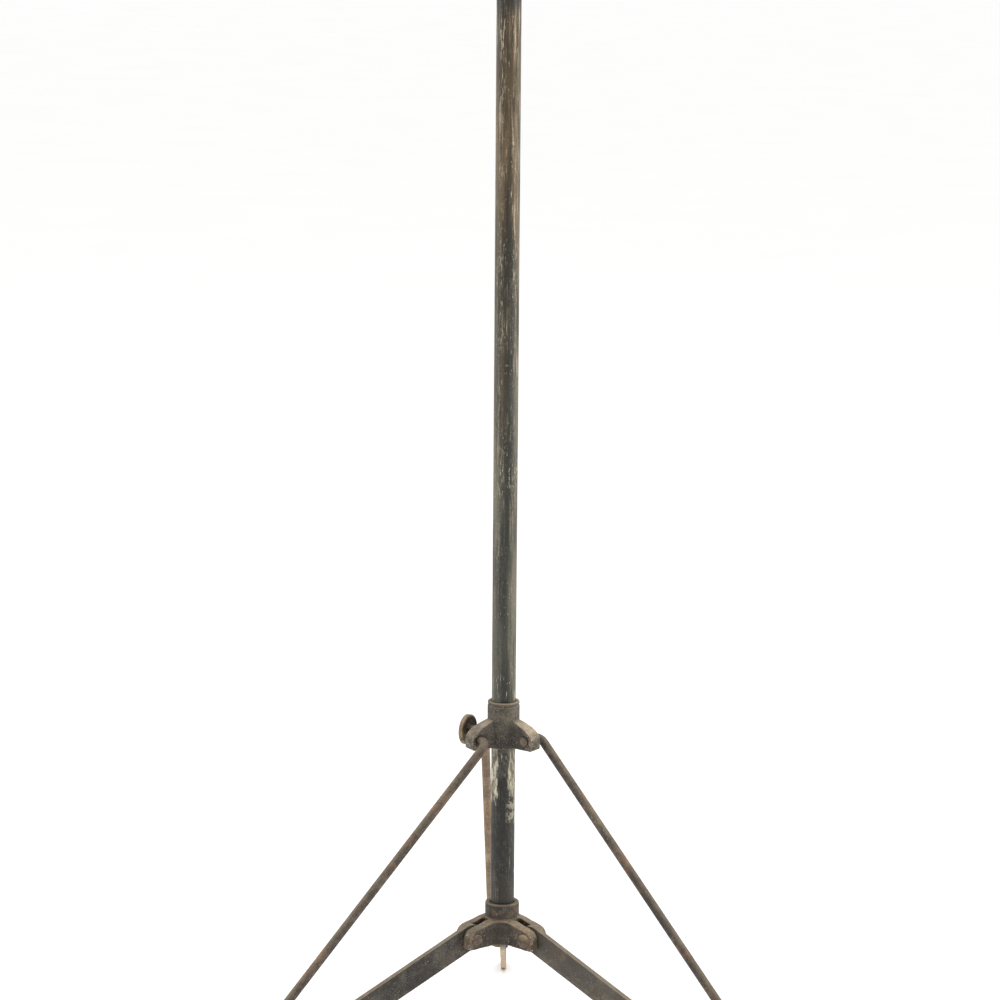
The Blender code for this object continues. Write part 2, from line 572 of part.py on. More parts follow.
nip = turned("nipple", st([(3.2, -96.3), (4.4, -96.3), (5.0, -96.9), (5.0, -167.0), (4.6, -167.4), (3.2, -167.4)]), 20)
head("holder_nipple", smooth(nip, 30), BRASS)
nut = boolean(cylinder(9.0, 4.4, 6, "Z", (0, 0, -157.4 + ZS)), [cylinder(5.3, 20.0, 20, "Z", (0, 0, -157.0 + ZS))])
head("nipple_nut", nut, BRASS)
gland = turned("gland", st([(5.3, -160.2), (8.4, -160.2), (8.9, -160.8), (8.2, -169.0), (6.4, -172.0), (4.6, -172.4),
                            (3.4, -171.2), (3.4, -167.9), (5.3, -167.9)]), 18)
head("cord_bushing", smooth(gland, 30), BAKE)

hold = turned("holder", st([(13.9, -44.0), (19.0, -44.0), (20.5, -45.4), (20.5, -70.0), (22.0, -71.5), (22.0, -86.0),
                            (18.0, -94.0), (8.0, -96.0), (2.6, -96.0), (2.6, -76.0), (13.9, -76.0)]), 20)
head("lamp_holder", smooth(hold, 30), PORC)
con = turned("contact", st([(0.0, -71.6), (4.0, -72.0), (5.0, -73.2), (5.0, -75.7), (2.3, -75.7), (2.3, -90.0), (0.0, -90.0)]), 16)
head("centre_contact", smooth(con, 40), BRASS)

capb = turned("cap", st([(0.0, -68.0), (8.2, -67.2), (12.3, -63.2), (12.3, -38.4), (13.2, -38.4),
                         (13.2, -64.0), (9.0, -68.4), (5.2, -69.0), (4.6, -71.2), (0.0, -71.2)]), 18)
head("bulb_cap", smooth(capb, 35), BRASS)

G0, GR = 30.0, 38.0
shell = []
for k in range(0, 8):
    t = math.radians(20.0 * k)
    shell.append((GR * math.sin(t), G0 + GR * math.cos(t)))
shell += [(16.8, -12.0), (12.0, -30.0), (11.5, -44.0)]
thin = []
for r, z in reversed(shell):
    k = 0.9
    thin.append((max(0.0, r - k), z - (k if r < 20 and z > 40 else 0.0)))
thin[-1] = (0.0, G0 + GR - 0.9)
bulb = turned("bulb", st(shell + thin), 20)
head("bulb_glass", smooth(bulb, 40), GLASS)

stem = turned("stem", st([(0.0, 12.0), (1.6, 11.4), (2.2, 9.0), (2.2, -34.0), (5.4, -44.0), (8.0, -56.0), (0.0, -56.0)]), 16)
wire_l = rod("wire", [(-0.4, 0, -6.0 + ZS), (-2.6, 0, 2.0 + ZS), (-12.0, 0, 24.0 + ZS), (-13.0, 0, 27.0 + ZS)], 0.45, 1)
wire_r = rod("wire", [(0.4, 0, -6.0 + ZS), (2.6, 0, 2.0 + ZS), (12.0, 0, 24.0 + ZS), (13.0, 0, 27.0 + ZS)], 0.45, 1)
coil = rod("coil", [(-13.2, 0, 26.0 + ZS), (-7.0, 4.0, 27.0 + ZS), (0.0, 6.0, 27.6 + ZS), (7.0, 4.0, 27.0 + ZS), (13.2, 0, 26.0 + ZS)], 0.8, 1)
stem = boolean(stem, [wire_l, wire_r, coil], "UNION")
head("bulb_filament", smooth(stem, 40), WIRE)

body = boolean(cylinder(11.0, 9.0, 18, "Z", (0, 27.0, -159.4 + ZS)),
               [cylinder(3.0, 14.0, 16, "Z", (0, 27.0, -151.0 + ZS)), ], "UNION")
head("switch_body", smooth(body, 30), BAKE)
key = turned("key", [(0.0, -164.2), (3.0, -164.2), (3.0, -166.6), (6.6, -167.0), (6.8, -173.6), (6.0, -174.4), (0.0, -174.6)], 20)
key.transform(Matrix.Translation((0, 0, 169.0 * MM)))
lever = block(3.0, 17.0, 5.0, (0, 0, -2.4))
key = boolean(key, [lever], "UNION")
place("switch_key", smooth(key, 30), BAKE, tilt, (0, 27.0, -169.0 + ZS))

for sgn, tag in ((-1, "left"), (1, "right")):
    ang = 0.0 if sgn > 0 else math.pi
    # bolt: square-shouldered head inside the bowl, shank out through the arm
    hexa = cylinder(7.0, 4.8, 6, "X", (BOWL_R - 0.8 - 0.3 - 2.4 - 1.0, 0, 0))
    shank = cylinder(3.9, 32.0, 20, "X", (BOWL_R - 2.4 + 16.0, 0, 0))
    b = boolean(hexa, [shank], "UNION")
    turned_by(b, math.degrees(ang))
    head("tilt_bolt_%s" % tag, smooth(b, 30), BARE)
    x0, x1 = BOWL_R + W + 0.3, YOKE_X - 0.3
    sp = turned("spacer", [(4.3, x1), (9.2, x1), (10.0, x1 - 0.8), (10.0, x0 + 0.8), (9.2, x0), (4.3, x0)], 18)
    sp.transform(Matrix.Rotation(math.pi / 2, 4, "Y"))
    turned_by(sp, math.degrees(ang))
    head("tilt_spacer_%s" % tag, smooth(sp, 30), BARE)
    f = YOKE_X + YOKE_T + 0.3
    kp = [(0.0, f + 20.4), (7.0, f + 20.8), (14.4, f + 20.4), (16.0, f + 19.4), (16.6, f + 18.0), (16.6, f + 14.4),
          (15.6, f + 13.2), (13.6, f + 13.0), (9.4, f + 14.4), (8.6, f + 13.0), (8.2, f + 1.4), (8.8, f + 0.5),
          (8.8, f), (4.4, f), (4.4, f + 17.6), (0.0, f + 17.6)]
    kn = turned("knob", kp, 20)
    kn.transform(Matrix.Rotation(math.pi / 2, 4, "Y"))
    turned_by(kn, math.degrees(ang))
    head("tilt_knob_%s" % tag, smooth(kn, 35), CAST)
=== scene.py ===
import bpy
import bmesh
import json
import math
from mathutils import Matrix, Vector

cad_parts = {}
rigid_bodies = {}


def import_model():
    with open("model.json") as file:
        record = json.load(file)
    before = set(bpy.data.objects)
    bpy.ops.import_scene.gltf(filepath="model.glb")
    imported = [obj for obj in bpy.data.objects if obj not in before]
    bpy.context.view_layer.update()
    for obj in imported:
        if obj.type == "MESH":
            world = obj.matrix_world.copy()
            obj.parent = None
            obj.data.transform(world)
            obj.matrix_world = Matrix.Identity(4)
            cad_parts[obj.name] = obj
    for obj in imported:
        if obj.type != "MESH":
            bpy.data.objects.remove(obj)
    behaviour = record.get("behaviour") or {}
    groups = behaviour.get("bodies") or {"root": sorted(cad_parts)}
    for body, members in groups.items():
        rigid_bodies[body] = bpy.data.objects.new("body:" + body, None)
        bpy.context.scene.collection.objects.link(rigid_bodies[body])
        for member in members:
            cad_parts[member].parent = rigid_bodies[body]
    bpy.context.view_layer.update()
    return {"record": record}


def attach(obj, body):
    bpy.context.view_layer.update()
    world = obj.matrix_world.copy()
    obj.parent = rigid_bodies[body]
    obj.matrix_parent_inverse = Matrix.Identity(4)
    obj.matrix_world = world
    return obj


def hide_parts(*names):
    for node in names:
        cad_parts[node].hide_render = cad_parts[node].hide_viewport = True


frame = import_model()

MM = 0.001
FINE = 3            # times the CAD's facets

# the camera, from the mast's axis and the leg pivots: metres, radians, and the
# focal length as pixels across a frame 1000 wide
CAM_BACK = 3.42636
CAM_UP = 1.18948
CAM_PITCH = 0.206539
CAM_YAW = 0.001601
CAM_ROLL = 0.007466
CAM_F = 3353.18
WORLD = 1.02
CAST_SKIN = {"leg_hub": (0.8, 3), "runner": (0.65, 3), "top_clamp": (0.8, 3), "swivel_socket": (0.6, 2)}
ROUNDED = {"leg_1": (0.7, 3), "leg_2": (0.7, 3), "leg_3": (0.7, 3), "yoke": (0.7, 3), "yoke_bolt": (0.4, 2),
           "nipple_nut": (0.4, 2), "switch_key": (0.4, 2)}

# ---------------------------------------------------------------- dimensions
TUBE_R = 12.7            # outer tube, 25.4 mm steel tube
TUBE_WALL = 1.65
LEG_SLOPE = math.radians(24.0)   # legs below the horizontal when spread
LEG_AZ = (89.75, -149.0, -36.0)   # rear, left-front, right-front
PIVOT_R = 39.5           # leg pivots, from the mast's axis
LEG_H = 26.4             # flat bar, on edge
LEG_T = 6.35
LEG_REACH = 560.0        # pivot to the start of the flat under the foot
FOOT_A = 20.0            # run of that flat, along the leg
LEG_END = LEG_REACH + FOOT_A
HUB_Z = LEG_REACH * math.sin(LEG_SLOPE) + LEG_H / 2 * math.cos(LEG_SLOPE)

RUN_UP = 217.3           # runner's pin height above the leg pivots
STAY_S = 373.6           # stay pin, along the leg from the leg pivot
STAY_PIN_UP = 3.1         # and above the middle of the bar
STAY_R = 4.7625          # 3/8 inch rod
PIN_R = 32.6             # stay pins in the runner, from the axis
STAY_OFF_TOP = 20.2      # rod's offset beside the lug
STAY_OFF_BOT = 13.0      # rod's offset beside the leg
BEND_R = 8.8

HUB_HALF = 15.0          # half width of a clevis
SLOT_HALF = 4.3
HUB_SLEEVE_R = 18.2
WEB_R = 18.0               # concave webs between the clevises
HUB_TOP = 33.5           # above the pivots
HUB_BOT = -11.0
RUN_SLEEVE_R = 17.0
RUN_TOP = 38.2
RUN_BOT = -11.6
SCREW_AZ = 151.0         # runner's thumbscrew

CLAMP_BOT = HUB_Z + 996.0
TUBE_TOP = HUB_Z + 1018.0
CLAMP_TOP = HUB_Z + 1048.0
CLAMP_SCREW_Z = HUB_Z + 1034.0
CLAMP_AZ = 180.0
INNER_R = 9.525
INNER_WALL = 1.5
INNER_TOP = 1640.0
INNER_LEN = 800.0

SOCKET_Z = INNER_TOP + 14.0      # lower face of the swivel socket
YOKE_BASE = SOCKET_Z + 38.6      # underside of the yoke's base
YOKE_T = 4.0
YOKE_W = 26.0
YOKE_X = 155.0                   # inner face of each arm
TILT_UP = 172.0                  # tilt axis above the yoke's base underside
TILT_Z = YOKE_BASE + TILT_UP
HEAD_DROP = math.radians(18.0)   # head looks down by this at rest
BOWL_R = 146.0
TILT_AT = 50.0                   # tilt axis, along the lamp's axis


look = bpy.data.collections.new("look_pieces")
bpy.context.scene.collection.children.link(look)
cutters = bpy.data.collections.new("look_cutters")
bpy.context.scene.collection.children.link(cutters)
CAST = BLACK = RUSTY = BARE = BRASS = SPUN = BAKE = PORC = GLASS = WIRE = None     # finishes are given below

def empty(name, loc, rot_z=0.0, rot_x=0.0, parent=None):
    e = bpy.data.objects.new("at_" + name, None)
    e.empty_display_size = 0.03
    look.objects.link(e)
    e.parent = parent
    e.location = Vector(loc) * MM
    e.rotation_euler = (rot_x, 0.0, rot_z)
    return e


def place(name, mesh, mat, parent, loc=(0, 0, 0), rot=(0, 0, 0), guide=False):
    ob = bpy.data.objects.new("look_" + name, mesh)
    look.objects.link(ob)
    ob.parent = parent
    ob.location = Vector(loc) * MM
    ob.rotation_euler = rot
    return ob


def smooth(me, angle=38.0):
    me.shade_smooth()
    me.set_sharp_from_angle(angle=math.radians(angle))
    return me


def baked(ob, weld=1e-6):
    """The object's evaluated mesh, modifiers applied, its points welded."""
    bpy.context.view_layer.update()
    dg = bpy.context.evaluated_depsgraph_get()
    me = bpy.data.meshes.new_from_object(ob.evaluated_get(dg))
    bm = bmesh.new()
    bm.from_mesh(me)
    bmesh.ops.remove_doubles(bm, verts=bm.verts, dist=weld)
    bmesh.ops.dissolve_degenerate(bm, edges=bm.edges, dist=1e-7)
    bmesh.ops.recalc_face_normals(bm, faces=bm.faces)
    bm.to_mesh(me)
    bm.free()
    data = ob.data
    bpy.data.objects.remove(ob, do_unlink=True)
    if isinstance(data, bpy.types.Mesh):
        bpy.data.meshes.remove(data)
    else:
        bpy.data.curves.remove(data)
    return me


def turned(name, profile, steps):
    steps = steps * FINE
    """A profile (r, z) turned about Z; the outer side runs from top to bottom."""
    me = bpy.data.meshes.new(name)
    pts = [(r * MM, 0.0, z * MM) for r, z in profile]
    closed = min(r for r, z in profile) > 1e-6
    n = len(pts)
    edges = [(i, i + 1) for i in range(n - 1)] + ([(n - 1, 0)] if closed else [])
    me.from_pydata(pts, edges, [])
    ob = bpy.data.objects.new(name, me)
    bpy.context.scene.collection.objects.link(ob)
    s = ob.modifiers.new("turn", "SCREW")
    s.axis = "Z"
    s.steps = steps
    s.render_steps = steps
    s.use_merge_vertices = True
    s.merge_threshold = 1e-6
    s.use_smooth_shade = False
    return baked(ob)


def flat(name, outline, thick, holes=()):
    """A flat outline in the X-Z plane, thick along Y, centred on the plane."""
    cu = bpy.data.curves.new(name, "CURVE")
    cu.dimensions = "2D"
    cu.fill_mode = "BOTH"
    cu.extrude = thick * MM / 2
    for ring in (outline, *holes):
        sp = cu.splines.new("POLY")
        sp.points.add(len(ring) - 1)
        for p, (x, z) in zip(sp.points, ring):
            p.co = (x * MM, z * MM, 0.0, 1.0)
        sp.use_cyclic_u = True
    ob = bpy.data.objects.new(name, cu)
    bpy.context.scene.collection.objects.link(ob)
    me = baked(ob)
    me.transform(Matrix.Rotation(math.pi / 2, 4, "X"))
    return me


def rod(name, points, radius, resolution=3):
    resolution = resolution * 2 + 1
    cu = bpy.data.curves.new(name, "CURVE")
    cu.dimensions = "3D"
    cu.bevel_depth = radius * MM
    cu.bevel_resolution = resolution
    cu.use_fill_caps = True
    sp = cu.splines.new("POLY")
    sp.points.add(len(points) - 1)
    for p, co in zip(sp.points, points):
        p.co = (*(Vector(co) * MM), 1.0)
    ob = bpy.data.objects.new(name, cu)
    bpy.context.scene.collection.objects.link(ob)
    return baked(ob)


def cylinder(radius, length, segments, axis="Z", centre=(0, 0, 0), r2=None):
    segments = segments * 2 if segments > 8 else segments
    me = bpy.data.meshes.new("cylinder")
    bm = bmesh.new()
    bmesh.ops.create_cone(bm, cap_ends=True, cap_tris=False, segments=segments,
                          radius1=radius * MM, radius2=(radius if r2 is None else r2) * MM,
                          depth=length * MM)
    bm.to_mesh(me)
    bm.free()
    if axis == "X":
        me.transform(Matrix.Rotation(math.pi / 2, 4, "Y"))
    elif axis == "Y":
        me.transform(Matrix.Rotation(math.pi / 2, 4, "X"))
    me.transform(Matrix.Translation(Vector(centre) * MM))
    return me


def block(sx, sy, sz, centre=(0, 0, 0)):
    me = bpy.data.meshes.new("block")
    bm = bmesh.new()
    bmesh.ops.create_cube(bm, size=1.0)
    bmesh.ops.scale(bm, vec=(sx * MM, sy * MM, sz * MM), verts=bm.verts)
    bmesh.ops.translate(bm, vec=Vector(centre) * MM, verts=bm.verts)
    bm.to_mesh(me)
    bm.free()
    return me


def turned_by(me, degrees, axis="Z"):
    me.transform(Matrix.Rotation(math.radians(degrees), 4, axis))
    return me


def boolean(base, tools, kind="DIFFERENCE"):
    """base mesh with each tool mesh joined or cut, as one new mesh."""
    ob = bpy.data.objects.new("base", base)
    bpy.context.scene.collection.objects.link(ob)
    made = []
    for i, t in enumerate(tools):
        c = bpy.data.objects.new("tool%d" % i, t)
        cutters.objects.link(c)
        c.hide_render = True
        c.display_type = "WIRE"
        made.append(c)
        m = ob.modifiers.new("bool%d" % i, "BOOLEAN")
        m.operation = kind
        m.solver = "EXACT"
        m.object = c
    me = baked(ob)
    for c in made:
        data = c.data
        bpy.data.objects.remove(c, do_unlink=True)
        bpy.data.meshes.remove(data)
    return me


def arc(cx, cz, r, a0, a1, n):
    n = n * 3
    return [(cx + r * math.cos(math.radians(a0 + (a1 - a0) * i / n)),
             cz + r * math.sin(math.radians(a0 + (a1 - a0) * i / n))) for i in range(n + 1)]


def circle(cx, cz, r, n):
    n = n * 2
    return [(cx + r * math.cos(2 * math.pi * i / n), cz + r * math.sin(2 * math.pi * i / n)) for i in range(n)]


def filleted(points, radius, n=6):
    """A polyline with its inner corners rounded to radius."""
    n = n * 2
    out = [Vector(points[0])]
    for a, b, c in zip(points, points[1:], points[2:]):
        a, b, c = Vector(a), Vector(b), Vector(c)
        u, v = (a - b).normalized(), (c - b).normalized()
        half = u.angle(v) / 2
        t = radius / math.tan(half)
        centre = b + (u + v).normalized() * (radius / math.sin(half))
        p, q = b + u * t - centre, b + v * t - centre
        total = p.angle(q)
        for i in range(n + 1):
            s = i / n
            out.append(centre + (p * math.sin((1 - s) * total) + q * math.sin(s * total)) / math.sin(total))
    out.append(Vector(points[-1]))
    return out


def leg_frame(x, z):
    """A point x along a leg and z above its centre line, as (radial, height)."""
    c, s = math.cos(LEG_SLOPE), math.sin(LEG_SLOPE)
    return (x * c + z * s, -x * s + z * c)


# ------------------------------------------------- footprint and the origin
def leg_outline():
    h = LEG_H / 2
    rise = FOOT_A * math.tan(LEG_SLOPE)
    pts = arc(0, 0, h, 90, 270, 12)
    pts += [(LEG_REACH, -h), (LEG_END, -h + rise)]
    pts += [(LEG_END, h - 7.0)] + arc(LEG_END - 7.0, h - 7.0, 7.0, 15, 90, 5)
    return [leg_frame(x, z) for x, z in pts]


def footprint():
    reach = max(x for x, z in leg_outline()) + PIVOT_R
    xs, ys = [], []
    for az in LEG_AZ:
        a = math.radians(az)
        for t in (-LEG_T / 2, LEG_T / 2):
            xs.append(reach * math.cos(a) - t * math.sin(a))
            ys.append(reach * math.sin(a) + t * math.cos(a))
    return (min(xs) + max(xs)) / 2, (min(ys) + max(ys)) / 2


FX, FY = footprint()
MAST_X, MAST_Y = -FX * MM, -FY * MM
axis = empty("mast_axis", (-FX, -FY, 0))


# -------------------------------------------------------------- outer tube
def tube_profile(r_out, r_in, z0, z1, chamfer=0.5):
    c = chamfer
    return [(r_in, z1), (r_out - c, z1), (r_out, z1 - c), (r_out, z0 + c), (r_out - c, z0), (r_in, z0)]


me = turned("outer_tube", tube_profile(TUBE_R, TUBE_R - TUBE_WALL, HUB_Z + HUB_BOT + 1.0, TUBE_TOP), 24)
place("outer_tube", smooth(me), BLACK, axis)


# -------------------------------------------------------------------- hub
def hub_plan():
    """Three lobes with parallel sides, joined by concave webs, from above."""
    out = []
    order = sorted(math.radians(a) % (2 * math.pi) for a in LEG_AZ)
    for i, a in enumerate(order):
        nxt = order[(i + 1) % 3]
        half = ((nxt - a) % (2 * math.pi)) / 2
        for r, t in ((56.0, -HUB_HALF), (56.0, HUB_HALF)):
            out.append((r * math.cos(a) - t * math.sin(a), r * math.sin(a) + t * math.cos(a)))
        far = (HUB_HALF + WEB_R) / math.sin(half)
        mid = a + half
        cx, cy = far * math.cos(mid), far * math.sin(mid)
        for k in range(7):
            t = -(math.pi / 2 - half) + (math.pi - 2 * half) * k / 6
            d = mid + math.pi - t
            out.append((cx + WEB_R * math.cos(d), cy + WEB_R * math.sin(d)))
    return out


cast = turned("cast", [(5.0, 17.4), (18.0, 17.3), (24.0, 16.6), (31.0, 14.0), (38.0, 12.2), (43.2, 10.8),
                       (47.4, 8.2), (49.8, 4.2), (50.6, -0.6), (50.6, HUB_BOT + 1.6), (49.2, HUB_BOT + 0.2),
                       (22.0, HUB_BOT + 1.9), (5.0, HUB_BOT + 2.1)], 32)
plan = flat("plan", hub_plan(), 80.0)
plan.transform(Matrix.Rotation(-math.pi / 2, 4, "X"))
cast = boolean(cast, [plan], "INTERSECT")
sleeve = turned("sleeve", [(6.0, HUB_TOP), (HUB_SLEEVE_R - 0.9, HUB_TOP), (HUB_SLEEVE_R, HUB_TOP - 0.9),
                           (HUB_SLEEVE_R, HUB_BOT), (6.0, HUB_BOT)], 28)
hub = boolean(cast, [sleeve], "UNION")
cuts = [cylinder(TUBE_R + 0.35, 200, 24)]
for az in LEG_AZ:
    cuts.append(turned_by(block(60, SLOT_HALF * 2, 120, (19.4 + 30, 0, 0)), az))
    cuts.append(turned_by(cylinder(5.05, 60, 16, "Y", (PIVOT_R, 0, 0)), az))
    cuts.append(turned_by(cylinder(8.4, 9.0, 16, "Y", (PIVOT_R, -HUB_HALF - 4.4, 0)), az))   # spot faces
    cuts.append(turned_by(cylinder(6.9, 9.0, 14, "Y", (PIVOT_R, HUB_HALF + 4.4, 0)), az))
hub = boolean(hub, cuts)
place("leg_hub", smooth(hub, 30), CAST, axis, (0, 0, HUB_Z))

# rivets: a button head on the clockwise cheek, the closed tail on the other
rivet = turned("rivet", [(0.0, HUB_HALF + 4.6), (2.9, HUB_HALF + 4.2), (5.3, HUB_HALF + 3.0), (7.0, HUB_HALF + 1.4),
                         (7.5, HUB_HALF + 0.3), (4.7, HUB_HALF + 0.3), (4.7, -HUB_HALF - 0.3),
                         (5.9, -HUB_HALF - 0.3), (5.5, -HUB_HALF - 1.0), (3.2, -HUB_HALF - 1.4),
                         (0.0, -HUB_HALF - 1.5)], 16)
rivet.transform(Matrix.Rotation(math.pi / 2, 4, "X"))    # +Z to -Y, the clockwise side
smooth(rivet, 40)
for i, az in enumerate(LEG_AZ, 1):
    a = math.radians(az)
    place("hub_rivet_%d" % i, rivet.copy(), RUSTY, axis,
          (PIVOT_R * math.cos(a), PIVOT_R * math.sin(a), HUB_Z), (0, 0, a))

# -------------------------------------------------------------------- legs
pin_at = leg_frame(STAY_S, STAY_PIN_UP)
for i, az in enumerate(LEG_AZ, 1):
    a = math.radians(az)
    pivot = empty("leg_pivot_%d" % i, (PIVOT_R * math.cos(a), PIVOT_R * math.sin(a), HUB_Z), a, parent=axis)
    me = flat("leg", leg_outline(), LEG_T, [circle(0, 0, 5.0, 16), circle(*pin_at, 4.9, 16)])
    place("leg_%d" % i, smooth(me, 30), BLACK, pivot)
    # the stay's foot pin: the rod's end, through the leg and closed over
    me = turned("pin", [(0.0, LEG_T / 2 + 2.9), (3.6, LEG_T / 2 + 2.7), (5.2, LEG_T / 2 + 1.6), (5.3, LEG_T / 2 + 0.3),
                        (4.55, LEG_T / 2 + 0.3), (4.55, -LEG_T / 2 - 0.1), (0.0, -LEG_T / 2 - 0.1)], 16)
    me.transform(Matrix.Rotation(math.pi / 2, 4, "X"))
    place("stay_foot_pin_%d" % i, smooth(me, 40), RUSTY, pivot, (pin_at[0], 0, pin_at[1]))

# ------------------------------------------------------------------- runner
RUN_Z = HUB_Z + RUN_UP
runner = turned("sleeve", [(6.0, RUN_TOP), (RUN_SLEEVE_R - 0.9, RUN_TOP), (RUN_SLEEVE_R - 0.1, RUN_TOP - 0.8),
                           (RUN_SLEEVE_R - 0.1, RUN_TOP - 2.8), (RUN_SLEEVE_R - 1.0, RUN_TOP - 3.3),
                           (RUN_SLEEVE_R - 1.0, RUN_TOP - 4.4), (RUN_SLEEVE_R, RUN_TOP - 5.0),
                           (RUN_SLEEVE_R, RUN_BOT + 0.6), (RUN_SLEEVE_R - 0.6, RUN_BOT), (6.0, RUN_BOT)], 28)
parts = []
for az in LEG_AZ:
    outline = [(4.0, -11.0), (41.0, -10.0), (42.0, -9.0), (42.0, 0.6), (41.4, 3.4), (39.2, 6.8),
               (36.0, 9.8), (32.4, 12.1), (28.6, 14.1), (25.0, 15.8), (20.5, 17.7), (16.0, 19.2), (4.0, 20.4)]
    lug = flat("lug", outline, 16.4)
    for v in lug.vertices:      # a lug is thinner where it leaves the sleeve
        v.co.y *= 0.72 + 0.28 * min(1.0, max(0.0, (v.co.x / MM - 14.0) / 22.0))
    parts.append(turned_by(lug, az))
parts.append(turned_by(cylinder(8.4, 16.0, 20, "X", (20.5, 0, 0)), SCREW_AZ))
runner = boolean(runner, parts, "UNION")
cuts = [cylinder(TUBE_R + 0.4, 200, 24)]
for az in LEG_AZ:
    cuts.append(turned_by(cylinder(5.25, 60, 16, "Y", (PIN_R, 0, 0)), az))
cuts.append(turned_by(cylinder(4.5, 24.0, 16, "X", (22.0, 0, 0)), SCREW_AZ))
runner = boolean(runner, cuts)
place("runner", smooth(runner, 30), CAST, axis, (0, 0, RUN_Z))

# stays: round bars cranked at both ends
lower = (PIVOT_R + pin_at[0] - PIN_R, pin_at[1] - RUN_UP)      # leg pin, seen from the runner's pin
for i, az in enumerate(LEG_AZ, 1):
    a = math.radians(az)
    pivot = empty("stay_pivot_%d" % i, (PIN_R * math.cos(a), PIN_R * math.sin(a), RUN_Z), a, parent=axis)
    path = [(0, -8.9, 0), (0, STAY_OFF_TOP, 0), (lower[0], STAY_OFF_BOT, lower[1]),
            (lower[0], LEG_T / 2 + 0.6, lower[1])]
    me = rod("stay", filleted(path, BEND_R, 5), STAY_R, 3)
    place("stay_%d" % i, smooth(me, 50), RUSTY, pivot)


# -------------------------------------------------------------- thumbscrews
def thumbscrew(tip, face, shank_r=4.1, knob_r=16.2):
    """Along +X: a shank from tip to a round dished knob whose near face is at face."""
    p = [(0.0, face + 6.2), (6.0, face + 6.6), (knob_r - 2.6, face + 6.4), (knob_r, face + 5.2),
         (knob_r, face + 0.9), (knob_r - 1.6, face),
         (knob_r - 3.2, face + 1.4), (6.6, face + 3.0), (5.4, face + 2.2), (5.2, face - 5.0),
         (shank_r, face - 6.0), (shank_r, tip + 1.4), (shank_r - 1.2, tip), (0.0, tip)]
    me = turned("thumbscrew", p, 20)
    me.transform(Matrix.Rotation(math.pi / 2, 4, "Y"))      # +Z to +X
    return smooth(me, 35)


place("runner_thumbscrew", thumbscrew(TUBE_R + 0.5, 40.4), CAST, axis, (0, 0, RUN_Z),
      (0, 0, math.radians(SCREW_AZ)))

# --------------------------------------------------------------- top clamp
clamp = turned("clamp", [(3.0, CLAMP_TOP), (12.6, CLAMP_TOP), (13.4, CLAMP_TOP - 0.8), (14.2, CLAMP_TOP - 8.0),
                         (17.2, CLAMP_TOP - 12.0), (17.2, CLAMP_BOT + 4.4), (16.6, CLAMP_BOT + 3.6),
                         (16.6, CLAMP_BOT + 0.6), (16.0, CLAMP_BOT), (3.0, CLAMP_BOT)], 28)
clamp = boolean(clamp, [turned_by(cylinder(8.4, 18.0, 20, "X", (18.0, 0, CLAMP_SCREW_Z)), CLAMP_AZ)], "UNION")
clamp = boolean(clamp, [cylinder(TUBE_R + 0.35, 60, 24, "Z", (0, 0, TUBE_TOP + 0.4 - 30)),
                        cylinder(INNER_R + 0.4, 120, 24, "Z", (0, 0, CLAMP_TOP)),
                        turned_by(cylinder(4.5, 30.0, 16, "X", (22.0, 0, CLAMP_SCREW_Z)), CLAMP_AZ)])
place("top_clamp", smooth(clamp, 30), CAST, axis)
place("clamp_thumbscrew", thumbscrew(INNER_R + 0.5, 36.0), CAST, axis, (0, 0, CLAMP_SCREW_Z),
      (0, 0, math.radians(CLAMP_AZ)))

# -------------------------------------------------------------- inner tube
me = turned("inner_tube", tube_profile(INNER_R, INNER_R - INNER_WALL, INNER_TOP - INNER_LEN, INNER_TOP, 0.4), 24)
place("inner_tube", smooth(me), BARE, axis)
IB = INNER_TOP - INNER_LEN
me = turned("guide_bush", [(0.0, IB + 14.0), (6.9, IB + 14.0), (7.6, IB + 13.0), (7.6, IB - 0.3), (10.2, IB - 0.3),
                           (10.7, IB - 0.9), (10.7, IB - 13.4), (10.0, IB - 14.0), (0.0, IB - 14.0)], 20)
place("guide_bush", smooth(me, 30), BRASS, axis)
me = turned("mast_cap", [(0.0, INNER_TOP + 46.0), (5.2, INNER_TOP + 46.0), (6.0, INNER_TOP + 45.2),
                         (6.0, INNER_TOP + 13.7), (10.6, INNER_TOP + 13.7), (11.4, INNER_TOP + 12.9),
                         (11.4, INNER_TOP + 4.0), (10.4, INNER_TOP + 2.6), (10.4, INNER_TOP + 0.3),
                         (7.6, INNER_TOP + 0.3), (7.6, INNER_TOP - 17.0), (6.8, INNER_TOP - 18.0),
                         (0.0, INNER_TOP - 18.0)], 20)
place("mast_cap", smooth(me, 30), BARE, axis)

# -------------------------------------------------------- swivel and yoke
swivel = empty("swivel_axis", (0, 0, SOCKET_Z), parent=axis)
sock = turned("socket", [(0.0, 38.3), (11.2, 38.3), (12.2, 37.3), (12.2, 4.0), (13.2, 3.0), (13.2, 0.6),
                         (12.6, 0.0), (0.0, 0.0)], 20)
sock = boolean(sock, [turned_by(cylinder(7.3, 12.0, 20, "X", (14.0, 0, 14.0)), 180)], "UNION")
sock = boolean(sock, [cylinder(6.35, 70.0, 20, "Z", (0, 0, -1.7)),
                      cylinder(4.1, 30.0, 22, "Z", (0, 0, 38.0)),
                      turned_by(cylinder(3.5, 30.0, 18, "X", (19.0, 0, 14.0)), 180)])
place("swivel_socket", smooth(sock, 30), CAST, swivel)
screw = turned("screw", [(0.0, 34.8), (5.0, 35.0), (8.6, 34.7), (9.6, 33.8), (9.6, 30.6), (8.8, 29.8), (5.0, 30.4),
                         (4.6, 26.0), (3.1, 25.4), (3.1, 7.4), (2.4, 6.5), (0.0, 6.5)], 20)
